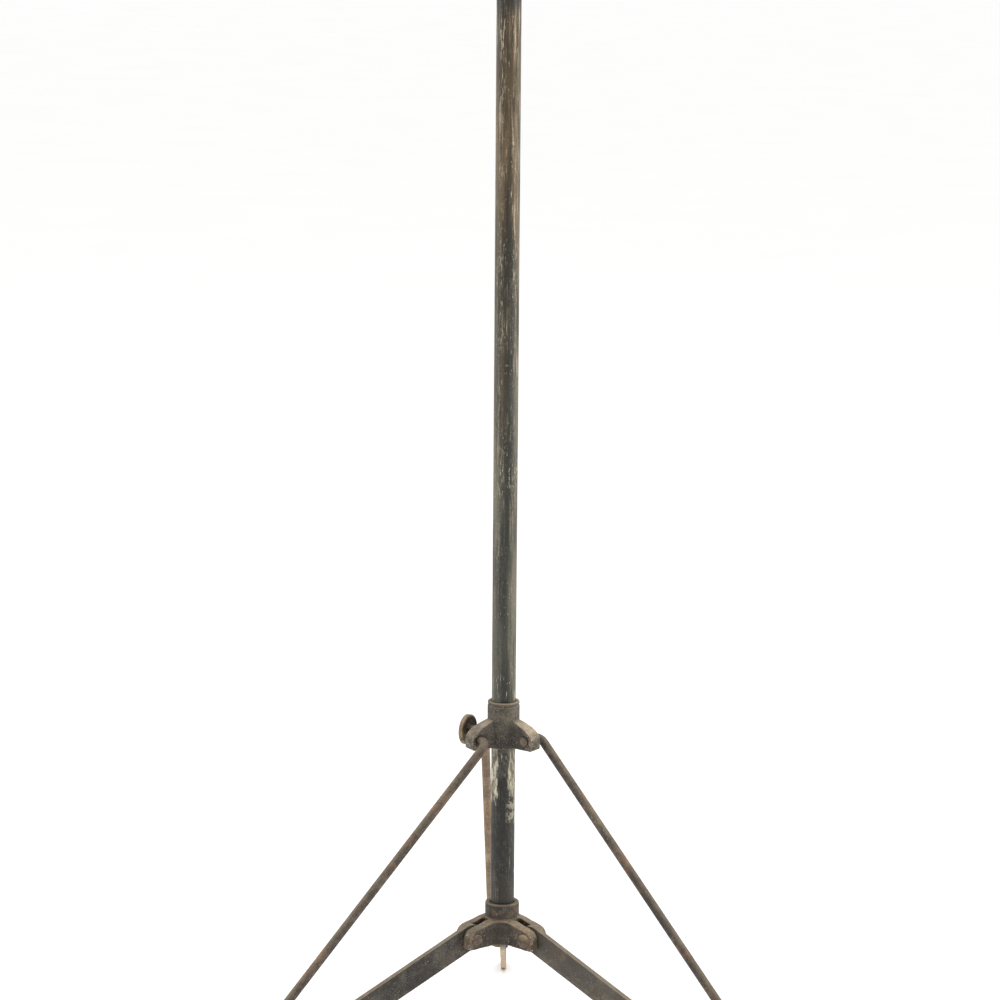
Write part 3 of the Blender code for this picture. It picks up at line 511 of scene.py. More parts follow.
screw.transform(Matrix.Rotation(math.pi / 2, 4, "Y"))
place("swivel_thumbscrew", smooth(screw, 35), BARE, swivel, (0, 0, 14.0), (0, 0, math.pi))


def u_outline():
    """The yoke's U from the front, relative to its base's underside."""
    r = 22.0
    x, top = YOKE_X, TILT_UP + YOKE_W / 2
    out = [(-x - YOKE_T, top)] + arc(-x - YOKE_T + r + YOKE_T, r + YOKE_T, r + YOKE_T, 180, 270, 6)
    out += arc(x + YOKE_T - r - YOKE_T, r + YOKE_T, r + YOKE_T, 270, 360, 6) + [(x + YOKE_T, top)]
    inn = [(x, top)] + arc(x - r, r + YOKE_T, r, 0, -90, 6) + arc(-x + r, r + YOKE_T, r, 270, 180, 6) + [(-x, top)]
    return out + inn


u = flat("u", u_outline(), YOKE_W)
side = [(z, y) for z, y in ((-YOKE_W / 2, -5.0), (YOKE_W / 2, -5.0))] + arc(0, TILT_UP, YOKE_W / 2, 0, 180, 12)
prism = flat("side", side, 400.0)
prism.transform(Matrix.Rotation(math.pi / 2, 4, "Z"))
u = boolean(u, [prism], "INTERSECT")
u = boolean(u, [cylinder(4.5, 400.0, 20, "X", (0, 0, TILT_UP)), cylinder(4.3, 40.0, 20, "Z", (0, 0, 0))])
place("yoke", smooth(u, 30), BLACK, swivel, (0, 0, YOKE_BASE - SOCKET_Z))
bolt = boolean(cylinder(7.4, 4.6, 6, "Z", (0, 0, YOKE_T + 0.3 + 2.3)),
               [cylinder(3.8, 12.0, 20, "Z", (0, 0, YOKE_T + 2.0 - 6.0))], "UNION")
place("yoke_bolt", bolt, BARE, swivel, (0, 0, YOKE_BASE - SOCKET_Z))

# --------------------------------------------------------------------- head
# Modelled about the lamp's axis, +Z to the mouth, then laid forward over -Y.
tilt = empty("tilt_axis", (0, 0, TILT_Z - SOCKET_Z), rot_x=math.pi / 2 + HEAD_DROP, parent=swivel)
ZS = -TILT_AT            # shifts lamp-axis stations so that the tilt axis is at 0


def st(profile):
    return [(r, z + ZS) for r, z in profile]


def head(name, me, mat):
    return place(name, me, mat, tilt)


W = 1.2
outer = [(BOWL_R + W, 99.0)]
outer += [(BOWL_R + W, 40.0)]
for k in range(1, 7):
    t = math.pi / 2 * (1 - k / 6)
    outer.append((45.0 + (BOWL_R + W - 45.0) * math.sin(t), -35.0 - W + (75.0 + W) * (1 - math.cos(t))))
outer = outer + [(45.0, -50.0)]
inner = [(45.0 - W, -50.0)]
for k in range(6, 0, -1):
    t = math.pi / 2 * (1 - k / 6)
    inner.append((45.0 - W + (BOWL_R - 45.0 + W) * math.sin(t), -35.0 + 75.0 * (1 - math.cos(t))))
inner += [(BOWL_R, 40.0), (BOWL_R, 100.0)]
bead = [(BOWL_R + 3.4 + 3.2 * math.cos(b), 101.5 + 3.2 * math.sin(b))
        for b in [math.radians(d) for d in (150, 78, 6, -66, -138)]]
bowl = turned("reflector", st(bead + outer + inner), 32)
holes = [cylinder(4.5, 340.0, 20, "X")]
screws_at = [cylinder(2.0, 30.0, 12, "X", (48.0, 0, -44.0 + ZS)) for k in range(3)]
for k, m in enumerate(screws_at):
    turned_by(m, 30 + 120 * k)
bowl = boolean(bowl, holes + screws_at)
head("reflector", smooth(bowl, 30), SPUN)

can = turned("can", st([(45.4, -38.0), (46.8, -38.0), (47.4, -38.7), (47.4, -39.9), (46.6, -40.6), (46.6, -149.0), (45.4, -149.0)]), 28)
vents = []
for k in range(8):
    v = cylinder(3.5, 30.0, 10, "X", (46.0, 0, 0))
    for p in v.vertices:
        p.co.z *= 3.0
    v.transform(Matrix.Translation((0, 0, (-112.0 + ZS) * MM)))
    vents.append(turned_by(v, 45 * k + 21.0))
screws_at = [turned_by(cylinder(2.0, 30.0, 12, "X", (48.0, 0, -44.0 + ZS)), 30 + 120 * k) for k in range(3)]
can = boolean(can, vents + screws_at)
head("lamp_housing", smooth(can, 30), SPUN)

one = turned("s", [(0.0, 49.6), (2.0, 49.4), (3.4, 48.5), (3.8, 47.2), (1.7, 47.2), (1.7, 42.0), (0.0, 42.0)], 14)
one.transform(Matrix.Rotation(math.pi / 2, 4, "Y"))
smooth(one, 40)
for k in range(3):
    c = one.copy()
    turned_by(c, 30 + 120 * k)
    place("housing_screw_%d" % (k + 1), c, BRASS, tilt, (0, 0, -44.0 + ZS))

cap = turned("cap", st([(5.0, -151.0), (44.6, -151.0), (44.6, -140.0), (45.1, -140.0), (45.1, -149.3), (48.2, -149.3),
                        (48.2, -151.6), (46.0, -153.4), (30.0, -154.6), (5.0, -154.6)]), 28)
cap = boolean(cap, [cylinder(5.4, 30.0, 20, "Z", (0, 0, -152.0 + ZS)),
                    cylinder(3.3, 30.0, 16, "Z", (0, 27.0, -152.0 + ZS))])
head("rear_cap", smooth(cap, 30), SPUN)

nip = turned("nipple", st([(3.2, -96.3), (4.4, -96.3), (5.0, -96.9), (5.0, -167.0), (4.6, -167.4), (3.2, -167.4)]), 20)
head("holder_nipple", smooth(nip, 30), BRASS)
nut = boolean(cylinder(9.0, 4.4, 6, "Z", (0, 0, -157.4 + ZS)), [cylinder(5.3, 20.0, 20, "Z", (0, 0, -157.0 + ZS))])
head("nipple_nut", nut, BRASS)
gland = turned("gland", st([(5.3, -160.2), (8.4, -160.2), (8.9, -160.8), (8.2, -169.0), (6.4, -172.0), (4.6, -172.4),
                            (3.4, -171.2), (3.4, -167.9), (5.3, -167.9)]), 18)
head("cord_bushing", smooth(gland, 30), BAKE)

hold = turned("holder", st([(13.9, -44.0), (19.0, -44.0), (20.5, -45.4), (20.5, -70.0), (22.0, -71.5), (22.0, -86.0),
                            (18.0, -94.0), (8.0, -96.0), (2.6, -96.0), (2.6, -76.0), (13.9, -76.0)]), 20)
head("lamp_holder", smooth(hold, 30), PORC)
con = turned("contact", st([(0.0, -71.6), (4.0, -72.0), (5.0, -73.2), (5.0, -75.7), (2.3, -75.7), (2.3, -90.0), (0.0, -90.0)]), 16)
head("centre_contact", smooth(con, 40), BRASS)

capb = turned("cap", st([(0.0, -68.0), (8.2, -67.2), (12.3, -63.2), (12.3, -38.4), (13.2, -38.4),
                         (13.2, -64.0), (9.0, -68.4), (5.2, -69.0), (4.6, -71.2), (0.0, -71.2)]), 18)
head("bulb_cap", smooth(capb, 35), BRASS)

G0, GR = 30.0, 38.0
shell = []
for k in range(0, 8):
    t = math.radians(20.0 * k)
    shell.append((GR * math.sin(t), G0 + GR * math.cos(t)))
shell += [(16.8, -12.0), (12.0, -30.0), (11.5, -44.0)]
thin = []
for r, z in reversed(shell):
    k = 0.9
    thin.append((max(0.0, r - k), z - (k if r < 20 and z > 40 else 0.0)))
thin[-1] = (0.0, G0 + GR - 0.9)
bulb = turned("bulb", st(shell + thin), 20)
head("bulb_glass", smooth(bulb, 40), GLASS)

stem = turned("stem", st([(0.0, 12.0), (1.6, 11.4), (2.2, 9.0), (2.2, -34.0), (5.4, -44.0), (8.0, -56.0), (0.0, -56.0)]), 16)
wire_l = rod("wire", [(-0.4, 0, -6.0 + ZS), (-2.6, 0, 2.0 + ZS), (-12.0, 0, 24.0 + ZS), (-13.0, 0, 27.0 + ZS)], 0.45, 1)
wire_r = rod("wire", [(0.4, 0, -6.0 + ZS), (2.6, 0, 2.0 + ZS), (12.0, 0, 24.0 + ZS), (13.0, 0, 27.0 + ZS)], 0.45, 1)
coil = rod("coil", [(-13.2, 0, 26.0 + ZS), (-7.0, 4.0, 27.0 + ZS), (0.0, 6.0, 27.6 + ZS), (7.0, 4.0, 27.0 + ZS), (13.2, 0, 26.0 + ZS)], 0.8, 1)
stem = boolean(stem, [wire_l, wire_r, coil], "UNION")
head("bulb_filament", smooth(stem, 40), WIRE)

body = boolean(cylinder(11.0, 9.0, 18, "Z", (0, 27.0, -159.4 + ZS)),
               [cylinder(3.0, 14.0, 16, "Z", (0, 27.0, -151.0 + ZS)), ], "UNION")
head("switch_body", smooth(body, 30), BAKE)
key = turned("key", [(0.0, -164.2), (3.0, -164.2), (3.0, -166.6), (6.6, -167.0), (6.8, -173.6), (6.0, -174.4), (0.0, -174.6)], 20)
key.transform(Matrix.Translation((0, 0, 169.0 * MM)))
lever = block(3.0, 17.0, 5.0, (0, 0, -2.4))
key = boolean(key, [lever], "UNION")
place("switch_key", smooth(key, 30), BAKE, tilt, (0, 27.0, -169.0 + ZS))

for sgn, tag in ((-1, "left"), (1, "right")):
    ang = 0.0 if sgn > 0 else math.pi
    # bolt: square-shouldered head inside the bowl, shank out through the arm
    hexa = cylinder(7.0, 4.8, 6, "X", (BOWL_R - 0.8 - 0.3 - 2.4 - 1.0, 0, 0))
    shank = cylinder(3.9, 32.0, 20, "X", (BOWL_R - 2.4 + 16.0, 0, 0))
    b = boolean(hexa, [shank], "UNION")
    turned_by(b, math.degrees(ang))
    head("tilt_bolt_%s" % tag, smooth(b, 30), BARE)
    x0, x1 = BOWL_R + W + 0.3, YOKE_X - 0.3
    sp = turned("spacer", [(4.3, x1), (9.2, x1), (10.0, x1 - 0.8), (10.0, x0 + 0.8), (9.2, x0), (4.3, x0)], 18)
    sp.transform(Matrix.Rotation(math.pi / 2, 4, "Y"))
    turned_by(sp, math.degrees(ang))
    head("tilt_spacer_%s" % tag, smooth(sp, 30), BARE)
    f = YOKE_X + YOKE_T + 0.3
    kp = [(0.0, f + 20.4), (7.0, f + 20.8), (14.4, f + 20.4), (16.0, f + 19.4), (16.6, f + 18.0), (16.6, f + 14.4),
          (15.6, f + 13.2), (13.6, f + 13.0), (9.4, f + 14.4), (8.6, f + 13.0), (8.2, f + 1.4), (8.8, f + 0.5),
          (8.8, f), (4.4, f), (4.4, f + 17.6), (0.0, f + 17.6)]
    kn = turned("knob", kp, 20)
    kn.transform(Matrix.Rotation(math.pi / 2, 4, "Y"))
    turned_by(kn, math.degrees(ang))
    head("tilt_knob_%s" % tag, smooth(kn, 35), CAST)

# ================================================================ materials
def srgb(r, g, b):
    return tuple(((c / 255 + 0.055) / 1.055) ** 2.4 if c > 10 else c / 255 / 12.92 for c in (r, g, b))


class Tree:
    """Small helpers for building one material's nodes."""

    def __init__(self, name):
        self.mat = bpy.data.materials.new(name)
        self.mat.use_nodes = True
        self.nt = self.mat.node_tree
        self.bsdf = self.nt.nodes["Principled BSDF"]
        tc = self.nt.nodes.new("ShaderNodeTexCoord")
        self.co = tc.outputs["Object"]
        geo = self.nt.nodes.new("ShaderNodeNewGeometry")
        self.point = geo.outputs["Pointiness"]
        sep = self.nt.nodes.new("ShaderNodeSeparateXYZ")
        self.nt.links.new(geo.outputs["Normal"], sep.inputs[0])
        self.up = sep.outputs["Z"]
        pos = self.nt.nodes.new("ShaderNodeSeparateXYZ")
        self.nt.links.new(self.co, pos.inputs[0])
        self.x, self.y, self.z = pos.outputs

    def put(self, socket, value):
        if isinstance(value, bpy.types.NodeSocket):
            self.nt.links.new(value, socket)
        elif isinstance(value, (tuple, list)) and len(value) == 3 and socket.type == "RGBA":
            socket.default_value = (*value, 1.0)
        else:
            socket.default_value = value

    def mapping(self, scale=(1, 1, 1), loc=(0, 0, 0), rot=(0, 0, 0)):
        n = self.nt.nodes.new("ShaderNodeMapping")
        self.put(n.inputs["Vector"], self.co)
        n.inputs["Scale"].default_value = scale
        n.inputs["Location"].default_value = loc
        n.inputs["Rotation"].default_value = rot
        return n.outputs[0]

    def noise(self, scale, detail=4.0, rough=0.55, vec=None, dist=0.0):
        n = self.nt.nodes.new("ShaderNodeTexNoise")
        self.put(n.inputs["Vector"], vec or self.co)
        n.inputs["Scale"].default_value = scale
        n.inputs["Detail"].default_value = detail
        n.inputs["Roughness"].default_value = rough
        n.inputs["Distortion"].default_value = dist
        return n.outputs["Fac"]

    def cells(self, scale, vec=None, feature="F1"):
        n = self.nt.nodes.new("ShaderNodeTexVoronoi")
        n.feature = feature
        self.put(n.inputs["Vector"], vec or self.co)
        n.inputs["Scale"].default_value = scale
        return n.outputs["Distance"]

    def ramp(self, fac, stops):
        n = self.nt.nodes.new("ShaderNodeValToRGB")
        self.put(n.inputs[0], fac)
        cr = n.color_ramp
        while len(cr.elements) < len(stops):
            cr.elements.new(0.5)
        for e, (p, c) in zip(cr.elements, stops):
            e.position = p
            e.color = (*c, 1.0)
        return n.outputs["Color"]

    def span(self, v, a, b, c=0.0, d=1.0):
        n = self.nt.nodes.new("ShaderNodeMapRange")
        self.put(n.inputs["Value"], v)
        for k, x in zip(("From Min", "From Max", "To Min", "To Max"), (a, b, c, d)):
            n.inputs[k].default_value = x
        return n.outputs[0]

    def calc(self, op, a, b=None):
        n = self.nt.nodes.new("ShaderNodeMath")
        n.operation = op
        self.put(n.inputs[0], a)
        if b is not None:
            self.put(n.inputs[1], b)
        return n.outputs[0]

    def mul(self, a, b):
        return self.calc("MULTIPLY", a, b)

    def mix(self, fac, a, b, mode="MIX"):
        n = self.nt.nodes.new("ShaderNodeMix")
        n.data_type = "RGBA"
        n.blend_type = mode
        self.put(n.inputs[0], fac)
        self.put(n.inputs[6], a)
        self.put(n.inputs[7], b)
        return n.outputs[2]

    def bump(self, height, strength, distance):
        n = self.nt.nodes.new("ShaderNodeBump")
        n.inputs["Strength"].default_value = strength
        n.inputs["Distance"].default_value = distance
        self.put(n.inputs["Height"], height)
        self.put(self.bsdf.inputs["Normal"], n.outputs[0])

    def done(self, colour, rough, metal=0.0, specular=0.5):
        self.put(self.bsdf.inputs["Base Color"], colour)
        self.put(self.bsdf.inputs["Roughness"], rough)
        self.bsdf.inputs["Metallic"].default_value = metal
        self.bsdf.inputs["Specular IOR Level"].default_value = specular
        return self.mat


DUST_AND_HIGHLIGHT = srgb(178, 158, 128)
RUST_A, RUST_B = srgb(128, 92, 64), srgb(92, 66, 48)


def aged(name, tones, rust=0.3, rust_at=0.56, dust_and_highlight_amount=0.5, wear=0.4, wear_rgb=srgb(140, 122, 98), metal=0.0,
         rough=(0.5, 0.8), bump=0.5, stretch=(1, 1, 1), tone_scale=22, grain=620, speck=0.3, specular=0.4,
         edges=(0.52, 0.60), foot=0.0, ends=None, dust_and_highlight_rgb=DUST_AND_HIGHLIGHT):
    t = Tree(name)
    tone = t.noise(tone_scale, 7, 0.6, t.mapping(stretch), 0.3)
    mottle = t.noise(tone_scale * 6, 6, 0.7, t.mapping(stretch, (2.0, 4.0, 1.0)))
    tone = t.calc("ADD", t.mul(tone, 0.62), t.mul(mottle, 0.38))
    colour = t.ramp(tone, [(0.36, tones[0]), (0.50, tones[1]), (0.64, tones[2])])
    grit = t.noise(grain, 3, 0.6)
    colour = t.mix(0.85, colour, t.ramp(grit, [(0.36, (0.34, 0.33, 0.31)), (0.49, (0.86, 0.85, 0.84)), (0.60, (1.0, 1.0, 1.0))]),
                   "MULTIPLY")
    # rust: blotches with a darker, pitted middle
    blot = t.noise(46, 9, 0.68, t.mapping((1, 1, 0.6), (3.1, 1.7, 0.4)), 0.6)
    rust_mask = t.mul(t.span(blot, rust_at, rust_at + 0.10), rust)
    rusty = t.ramp(t.noise(420, 4, 0.6), [(0.35, RUST_B), (0.60, RUST_A)])
    colour = t.mix(rust_mask, colour, rusty)
    # small pale chips
    chips = t.mul(t.span(t.cells(230, t.mapping((1, 1, 1), (0.3, 0.1, 0.2))), 0.16, 0.10), t.span(t.noise(60, 3), 0.58, 0.66))
    colour = t.mix(t.mul(chips, speck), colour, srgb(186, 178, 160))
    salt = t.mul(t.span(t.noise(780, 2, 0.5), 0.615, 0.66), t.span(t.noise(42, 4, 0.6), 0.44, 0.58, 0.10, 1.0))
    colour = t.mix(t.mul(salt, speck), colour, srgb(172, 160, 138))
    # rubbed edges
    rub = t.mul(t.span(t.point, edges[0], edges[1]), t.span(t.noise(140, 5, 0.65), 0.35, 0.60))
    colour = t.mix(t.mul(rub, wear), colour, wear_rgb)
    if foot:
        colour = t.mix(t.span(t.x, 0.0, 0.06, 0.0, 0.16), colour, srgb(140, 130, 114))
        # near the floor the legs' top and under edges, and their tips, are pale tan: dust and wear, and on the under
        # edges painted light where the floor lights them
        low_dust_and_floor_light = t.mul(t.span(t.calc("ADD", t.z, t.mul(t.calc("SUBTRACT", t.noise(40, 5, 0.6), 0.5), 0.03)), 0.140, 0.112), foot)
        low_dust_and_floor_light = t.mul(low_dust_and_floor_light, t.span(t.calc("ABSOLUTE", t.up), 0.30, 0.75))
        tip = t.mul(t.span(t.calc("ADD", t.z, t.mul(t.calc("SUBTRACT", t.noise(70, 5, 0.65), 0.5), 0.05)), 0.050, 0.016), 0.55)
        colour = t.mix(t.calc("MAXIMUM", low_dust_and_floor_light, t.mul(tip, t.span(t.noise(260, 5, 0.7), 0.42, 0.56))), colour,
                       t.ramp(t.noise(180, 4, 0.6), [(0.3, srgb(142, 116, 84)), (0.7, srgb(190, 162, 126))]))
    if ends:
        # the lugs' ends, rubbed paler and chipped
        dx = t.calc("SUBTRACT", t.x, MAST_X)
        dy = t.calc("SUBTRACT", t.y, MAST_Y)
        far = t.span(t.calc("SQRT", t.calc("ADD", t.mul(dx, dx), t.mul(dy, dy))), ends[0], ends[1])
        side_on = t.span(t.calc("ABSOLUTE", t.up), 0.9, 0.4)
        colour = t.mix(t.mul(t.mul(far, side_on), t.span(t.noise(150, 6, 0.7), 0.40, 0.62, 0.0, 0.55)), colour, srgb(132, 118, 98))
        colour = t.mix(t.mul(far, t.mul(t.span(t.noise(420, 3, 0.6), 0.62, 0.67), 0.8)), colour, srgb(214, 206, 186))
    # dust lies on what faces up, and it is also a painted highlight on those upper faces
    lay = t.mul(t.span(t.up, 0.15, 0.80), t.span(t.noise(110, 6, 0.7), 0.30, 0.62, 0.35, 1.0))
    dust_and_highlight_mask = t.mul(lay, dust_and_highlight_amount)
    if ends:
        dust_and_highlight_mask = t.mul(dust_and_highlight_mask, t.span(t.calc("ADD", t.x, t.mul(t.calc("SUBTRACT", t.noise(60, 4, 0.6), 0.5), 0.03)), -0.020, 0.012, 0.38, 1.0))
        dust_and_highlight_mask = t.mul(dust_and_highlight_mask, t.span(t.calc("SQRT", t.calc("ADD", t.mul(dx, dx), t.mul(dy, dy))), 0.018, 0.024, 0.5, 1.0))
        dust_and_highlight_mask = t.mul(dust_and_highlight_mask, t.span(t.noise(200, 6, 0.75, t.mapping((1, 1, 1), (7, 3, 5))), 0.38, 0.54, 0.55, 1.0))
    colour = t.mix(dust_and_highlight_mask, colour, t.ramp(t.noise(500, 3), [(0.3, tuple(c * 0.66 for c in dust_and_highlight_rgb)), (0.7, dust_and_highlight_rgb)]))
    r = t.span(t.noise(70, 5, 0.6, t.mapping(stretch)), 0.3, 0.7, rough[0], rough[1])
    r = t.calc("MAXIMUM", r, t.mul(dust_and_highlight_mask, 0.9))
    r = t.calc("MAXIMUM", r, t.mul(rust_mask, 0.88))
    height = t.calc("ADD", t.mul(grit, 0.55), t.mul(t.noise(240, 4, 0.6), 0.8))
    height = t.calc("ADD", height, t.mul(rust_mask, t.mul(t.noise(600, 4, 0.7), 0.8)))
    t.bump(height, bump, 0.0006)
    return t.done(colour, r, metal, specular)


def mast_paint():
    """The outer tube: brown and streaked towards the top, black-green lower
    down, rubbed pale just under where the runner is clamped. Heights are
    metres above the leg pivots."""
    t = Tree("mast_paint")
    h = t.calc("SUBTRACT", t.z, HUB_Z * MM)
    side = t.calc("SUBTRACT", t.x, MAST_X)
    streak = t.noise(430, 6, 0.62, t.mapping((1, 1, 0.035), (0.2, 0.7, 0.0)), 0.15)
    wide = t.noise(75, 4, 0.55, t.mapping((1, 1, 0.06), (1.2, 0.3, 0.1)))
    black = t.ramp(t.noise(34, 7, 0.62, t.mapping((1, 1, 0.22))), [(0.36, srgb(37, 39, 34)), (0.5, srgb(58, 60, 53)), (0.64, srgb(94, 93, 79))])
    lower = t.ramp(t.noise(110, 7, 0.75, t.mapping((1, 1, 0.6))), [(0.36, srgb(20, 20, 20)), (0.50, srgb(34, 34, 32)), (0.62, srgb(58, 55, 48))])
    brown = t.ramp(wide, [(0.36, srgb(34, 27, 18)), (0.50, srgb(62, 50, 35)), (0.63, srgb(108, 89, 62))])
    wander = t.calc("ADD", h, t.mul(t.calc("SUBTRACT", wide, 0.5), 0.50))
    colour = t.mix(t.span(h, 0.19, 0.21), lower, black)
    colour = t.mix(t.span(wander, 0.50, 0.88), colour, brown)
    colour = t.mix(t.mul(t.span(h, 0.075, 0.035), 0.45), colour, srgb(84, 74, 62))
    # the flanks left and right are painted paler than the front and back, in streaks: a painted sheen
    painted_flank_sheen = t.mul(t.span(t.calc("ADD", t.calc("ABSOLUTE", side), t.mul(t.calc("SUBTRACT", wide, 0.5), 0.010)), 0.0055, 0.0105), t.span(h, 0.20, 0.30))
    painted_flank_sheen = t.mul(painted_flank_sheen, t.span(side, -0.004, 0.004, 0.55, 1.25))
    colour = t.mix(t.mul(painted_flank_sheen, t.span(streak, 0.38, 0.60, 0.08, 0.55)), colour, srgb(129, 121, 100))
    # painted shade down the front and back
    painted_core_shade = t.span(t.calc("ADD", t.calc("ABSOLUTE", t.calc("SUBTRACT", side, 0.0015)), t.mul(t.calc("SUBTRACT", wide, 0.5), 0.014)), 0.0060, 0.0022)
    colour = t.mix(t.mul(painted_core_shade, 0.55), colour, srgb(40, 39, 33))
    # pale streaks, strongest in the brown stretch
    pale = t.mul(t.mul(t.span(streak, 0.56, 0.62), t.span(t.noise(30, 5, 0.7, t.mapping((1, 1, 0.8), (5, 2, 1))), 0.48, 0.56)), t.span(painted_core_shade, 0.8, 0.2, 0.25, 1.0))
    pale = t.mul(pale, t.span(side, -0.006, 0.004, 0.55, 1.0))
    colour = t.mix(t.mul(pale, t.span(h, 0.30, 0.86, 0.22, 0.85)), colour, srgb(192, 176, 154))
    dark = t.mul(t.span(streak, 0.50, 0.41), t.span(t.noise(20, 3, 0.6, t.mapping((1, 1, 0.4), (1, 8, 3))), 0.4, 0.6))
    colour = t.mix(t.mul(dark, 0.8), colour, srgb(27, 26, 21))
    # fine bright scrapes in two lines down the front, left and right of the core
    scrape = t.noise(900, 6, 0.8, t.mapping((1, 1, 0.07), (0.6, 0.9, 0.3), (0.05, 0.03, 0.0)), 0.5)
    lines = t.calc("MAXIMUM", t.span(t.calc("ABSOLUTE", t.calc("ADD", side, 0.0062)), 0.0045, 0.0012),
                   t.span(t.calc("ABSOLUTE", t.calc("SUBTRACT", side, 0.0068)), 0.0042, 0.0012))
    where = t.span(t.noise(60, 6, 0.7, t.mapping((1, 1, 0.55), (4, 1, 7))), 0.44, 0.56)
    scrape = t.mul(t.mul(t.span(scrape, 0.555, 0.585), lines), t.mul(where, t.span(h, 0.36, 0.62, 0.2, 1.0)))
    colour = t.mix(t.mul(scrape, 0.85), colour, srgb(208, 192, 162))
    # hair scratches and flecks, crowded where something has rubbed
    near = t.calc("MAXIMUM", t.span(t.calc("ABSOLUTE", t.calc("SUBTRACT", h, 0.505)), 0.030, 0.006), t.span(t.calc("ABSOLUTE", t.calc("SUBTRACT", h, 0.272)), 0.022, 0.005))
    hair = t.noise(520, 4, 0.75, t.mapping((1, 1, 0.10), (0.1, 0.5, 0.9), (0.5, 0.3, 0.2)), 0.8)
    hair_mask = t.mul(t.span(t.calc("ADD", hair, t.mul(near, 0.055)), 0.645, 0.67), t.span(t.calc("ADD", t.noise(24, 3), t.mul(near, 0.3)), 0.48, 0.56))
    hair_mask = t.mul(hair_mask, t.span(side, -0.010, -0.004, 0.35, 1.0))
    colour = t.mix(t.mul(hair_mask, 0.9), colour, srgb(206, 196, 170))
    flecks = t.mul(t.span(t.cells(330, t.mapping((1, 1, 0.5))), 0.16, 0.09), t.span(t.noise(55, 3), 0.53, 0.62))
    flecks = t.mul(flecks, t.span(h, 0.16, 0.30, 0.25, 1.0))
    colour = t.mix(t.mul(flecks, 0.6), colour, srgb(172, 164, 146))
    # rubbed and limed patches under the runner, to both sides, with ragged ends
    ragged = t.calc("ADD", h, t.mul(t.calc("SUBTRACT", t.noise(150, 6, 0.7, t.mapping((1, 1, 0.45))), 0.5), 0.05))
    band = t.mul(t.span(t.calc("ADD", ragged, t.span(side, 0.004, -0.004, 0.0, 0.006)), 0.151, 0.155), t.span(h, 0.222, 0.216))
    edge = t.calc("ADD", t.calc("ABSOLUTE", side), t.mul(t.calc("SUBTRACT", t.noise(170, 5, 0.65, t.mapping((1, 1, 0.6))), 0.5), 0.010))
    rubbed = t.mul(band, t.span(edge, 0.0052, 0.0066))
    colour = t.mix(t.mul(rubbed, 0.92), colour, t.ramp(t.noise(240, 5, 0.7, t.mapping((1, 1, 0.4))), [(0.40, srgb(92, 88, 76)), (0.52, srgb(150, 143, 125)), (0.60, srgb(208, 201, 179))]))
    mottled = t.mul(t.span(ragged, 0.178, 0.185), t.span(h, 0.222, 0.216))
    colour = t.mix(t.mul(mottled, t.span(t.noise(330, 6, 0.75), 0.48, 0.60, 0.10, 0.55)), colour, srgb(120, 114, 101))
    drip = t.mul(t.mul(t.span(ragged, 0.120, 0.126), t.span(ragged, 0.156, 0.150)), t.span(side, 0.002, 0.007))
    colour = t.mix(t.mul(drip, t.span(t.noise(240, 6, 0.7, t.mapping((1, 1, 0.8))), 0.46, 0.52)), colour, srgb(146, 141, 122))
    # painted shadow just under the clamp above, and darker just above the hub's sleeve below
    clamp_shadow_and_hub_band = t.calc("MAXIMUM", t.span(t.calc("ADD", h, t.mul(t.calc("SUBTRACT", wide, 0.5), 0.03)), 0.972, 0.990), t.span(h, 0.040, 0.034))
    colour = t.mix(t.mul(clamp_shadow_and_hub_band, 0.8), colour, srgb(38, 42, 40))
    grit = t.noise(1000, 3, 0.6)
    colour = t.mix(0.7, colour, t.ramp(grit, [(0.36, (0.45, 0.45, 0.44)), (0.55, (1, 1, 1))]), "MULTIPLY")
    salt = t.mul(t.span(t.noise(760, 3, 0.6, t.mapping((1, 1, 0.35))), 0.625, 0.675), t.span(t.noise(36, 4, 0.6), 0.44, 0.60, 0.06, 0.6))
    salt = t.mul(salt, t.span(h, 0.16, 0.30, 0.35, 1.0))
    colour = t.mix(salt, colour, srgb(162, 152, 132))
    r = t.span(t.noise(60, 5, 0.6, t.mapping((1, 1, 0.15))), 0.3, 0.7, 0.42, 0.66)
    r = t.calc("MAXIMUM", r, t.mul(rubbed, 0.78))
    height = t.calc("ADD", t.mul(streak, 0.5), t.mul(grit, 0.35))
    height = t.calc("ADD", height, t.mul(rubbed, 0.25))
    t.bump(height, 0.35, 0.0003)
    return t.done(colour, r, 0.0, 0.37)


def clear_glass():
    t = Tree("clear_glass")
    smear = t.noise(55, 5, 0.6)
    t.put(t.bsdf.inputs["Roughness"], t.span(smear, 0.35, 0.75, 0.02, 0.16))
    t.put(t.bsdf.inputs["Base Color"], t.ramp(t.noise(30, 4), [(0.3, (0.93, 0.95, 0.93)), (0.7, (0.99, 0.99, 0.98))]))
    t.bsdf.inputs["Transmission Weight"].default_value = 1.0
    t.bsdf.inputs["IOR"].default_value = 1.45
    t.bump(t.noise(90, 2), 0.05, 0.0004)
    return t.mat


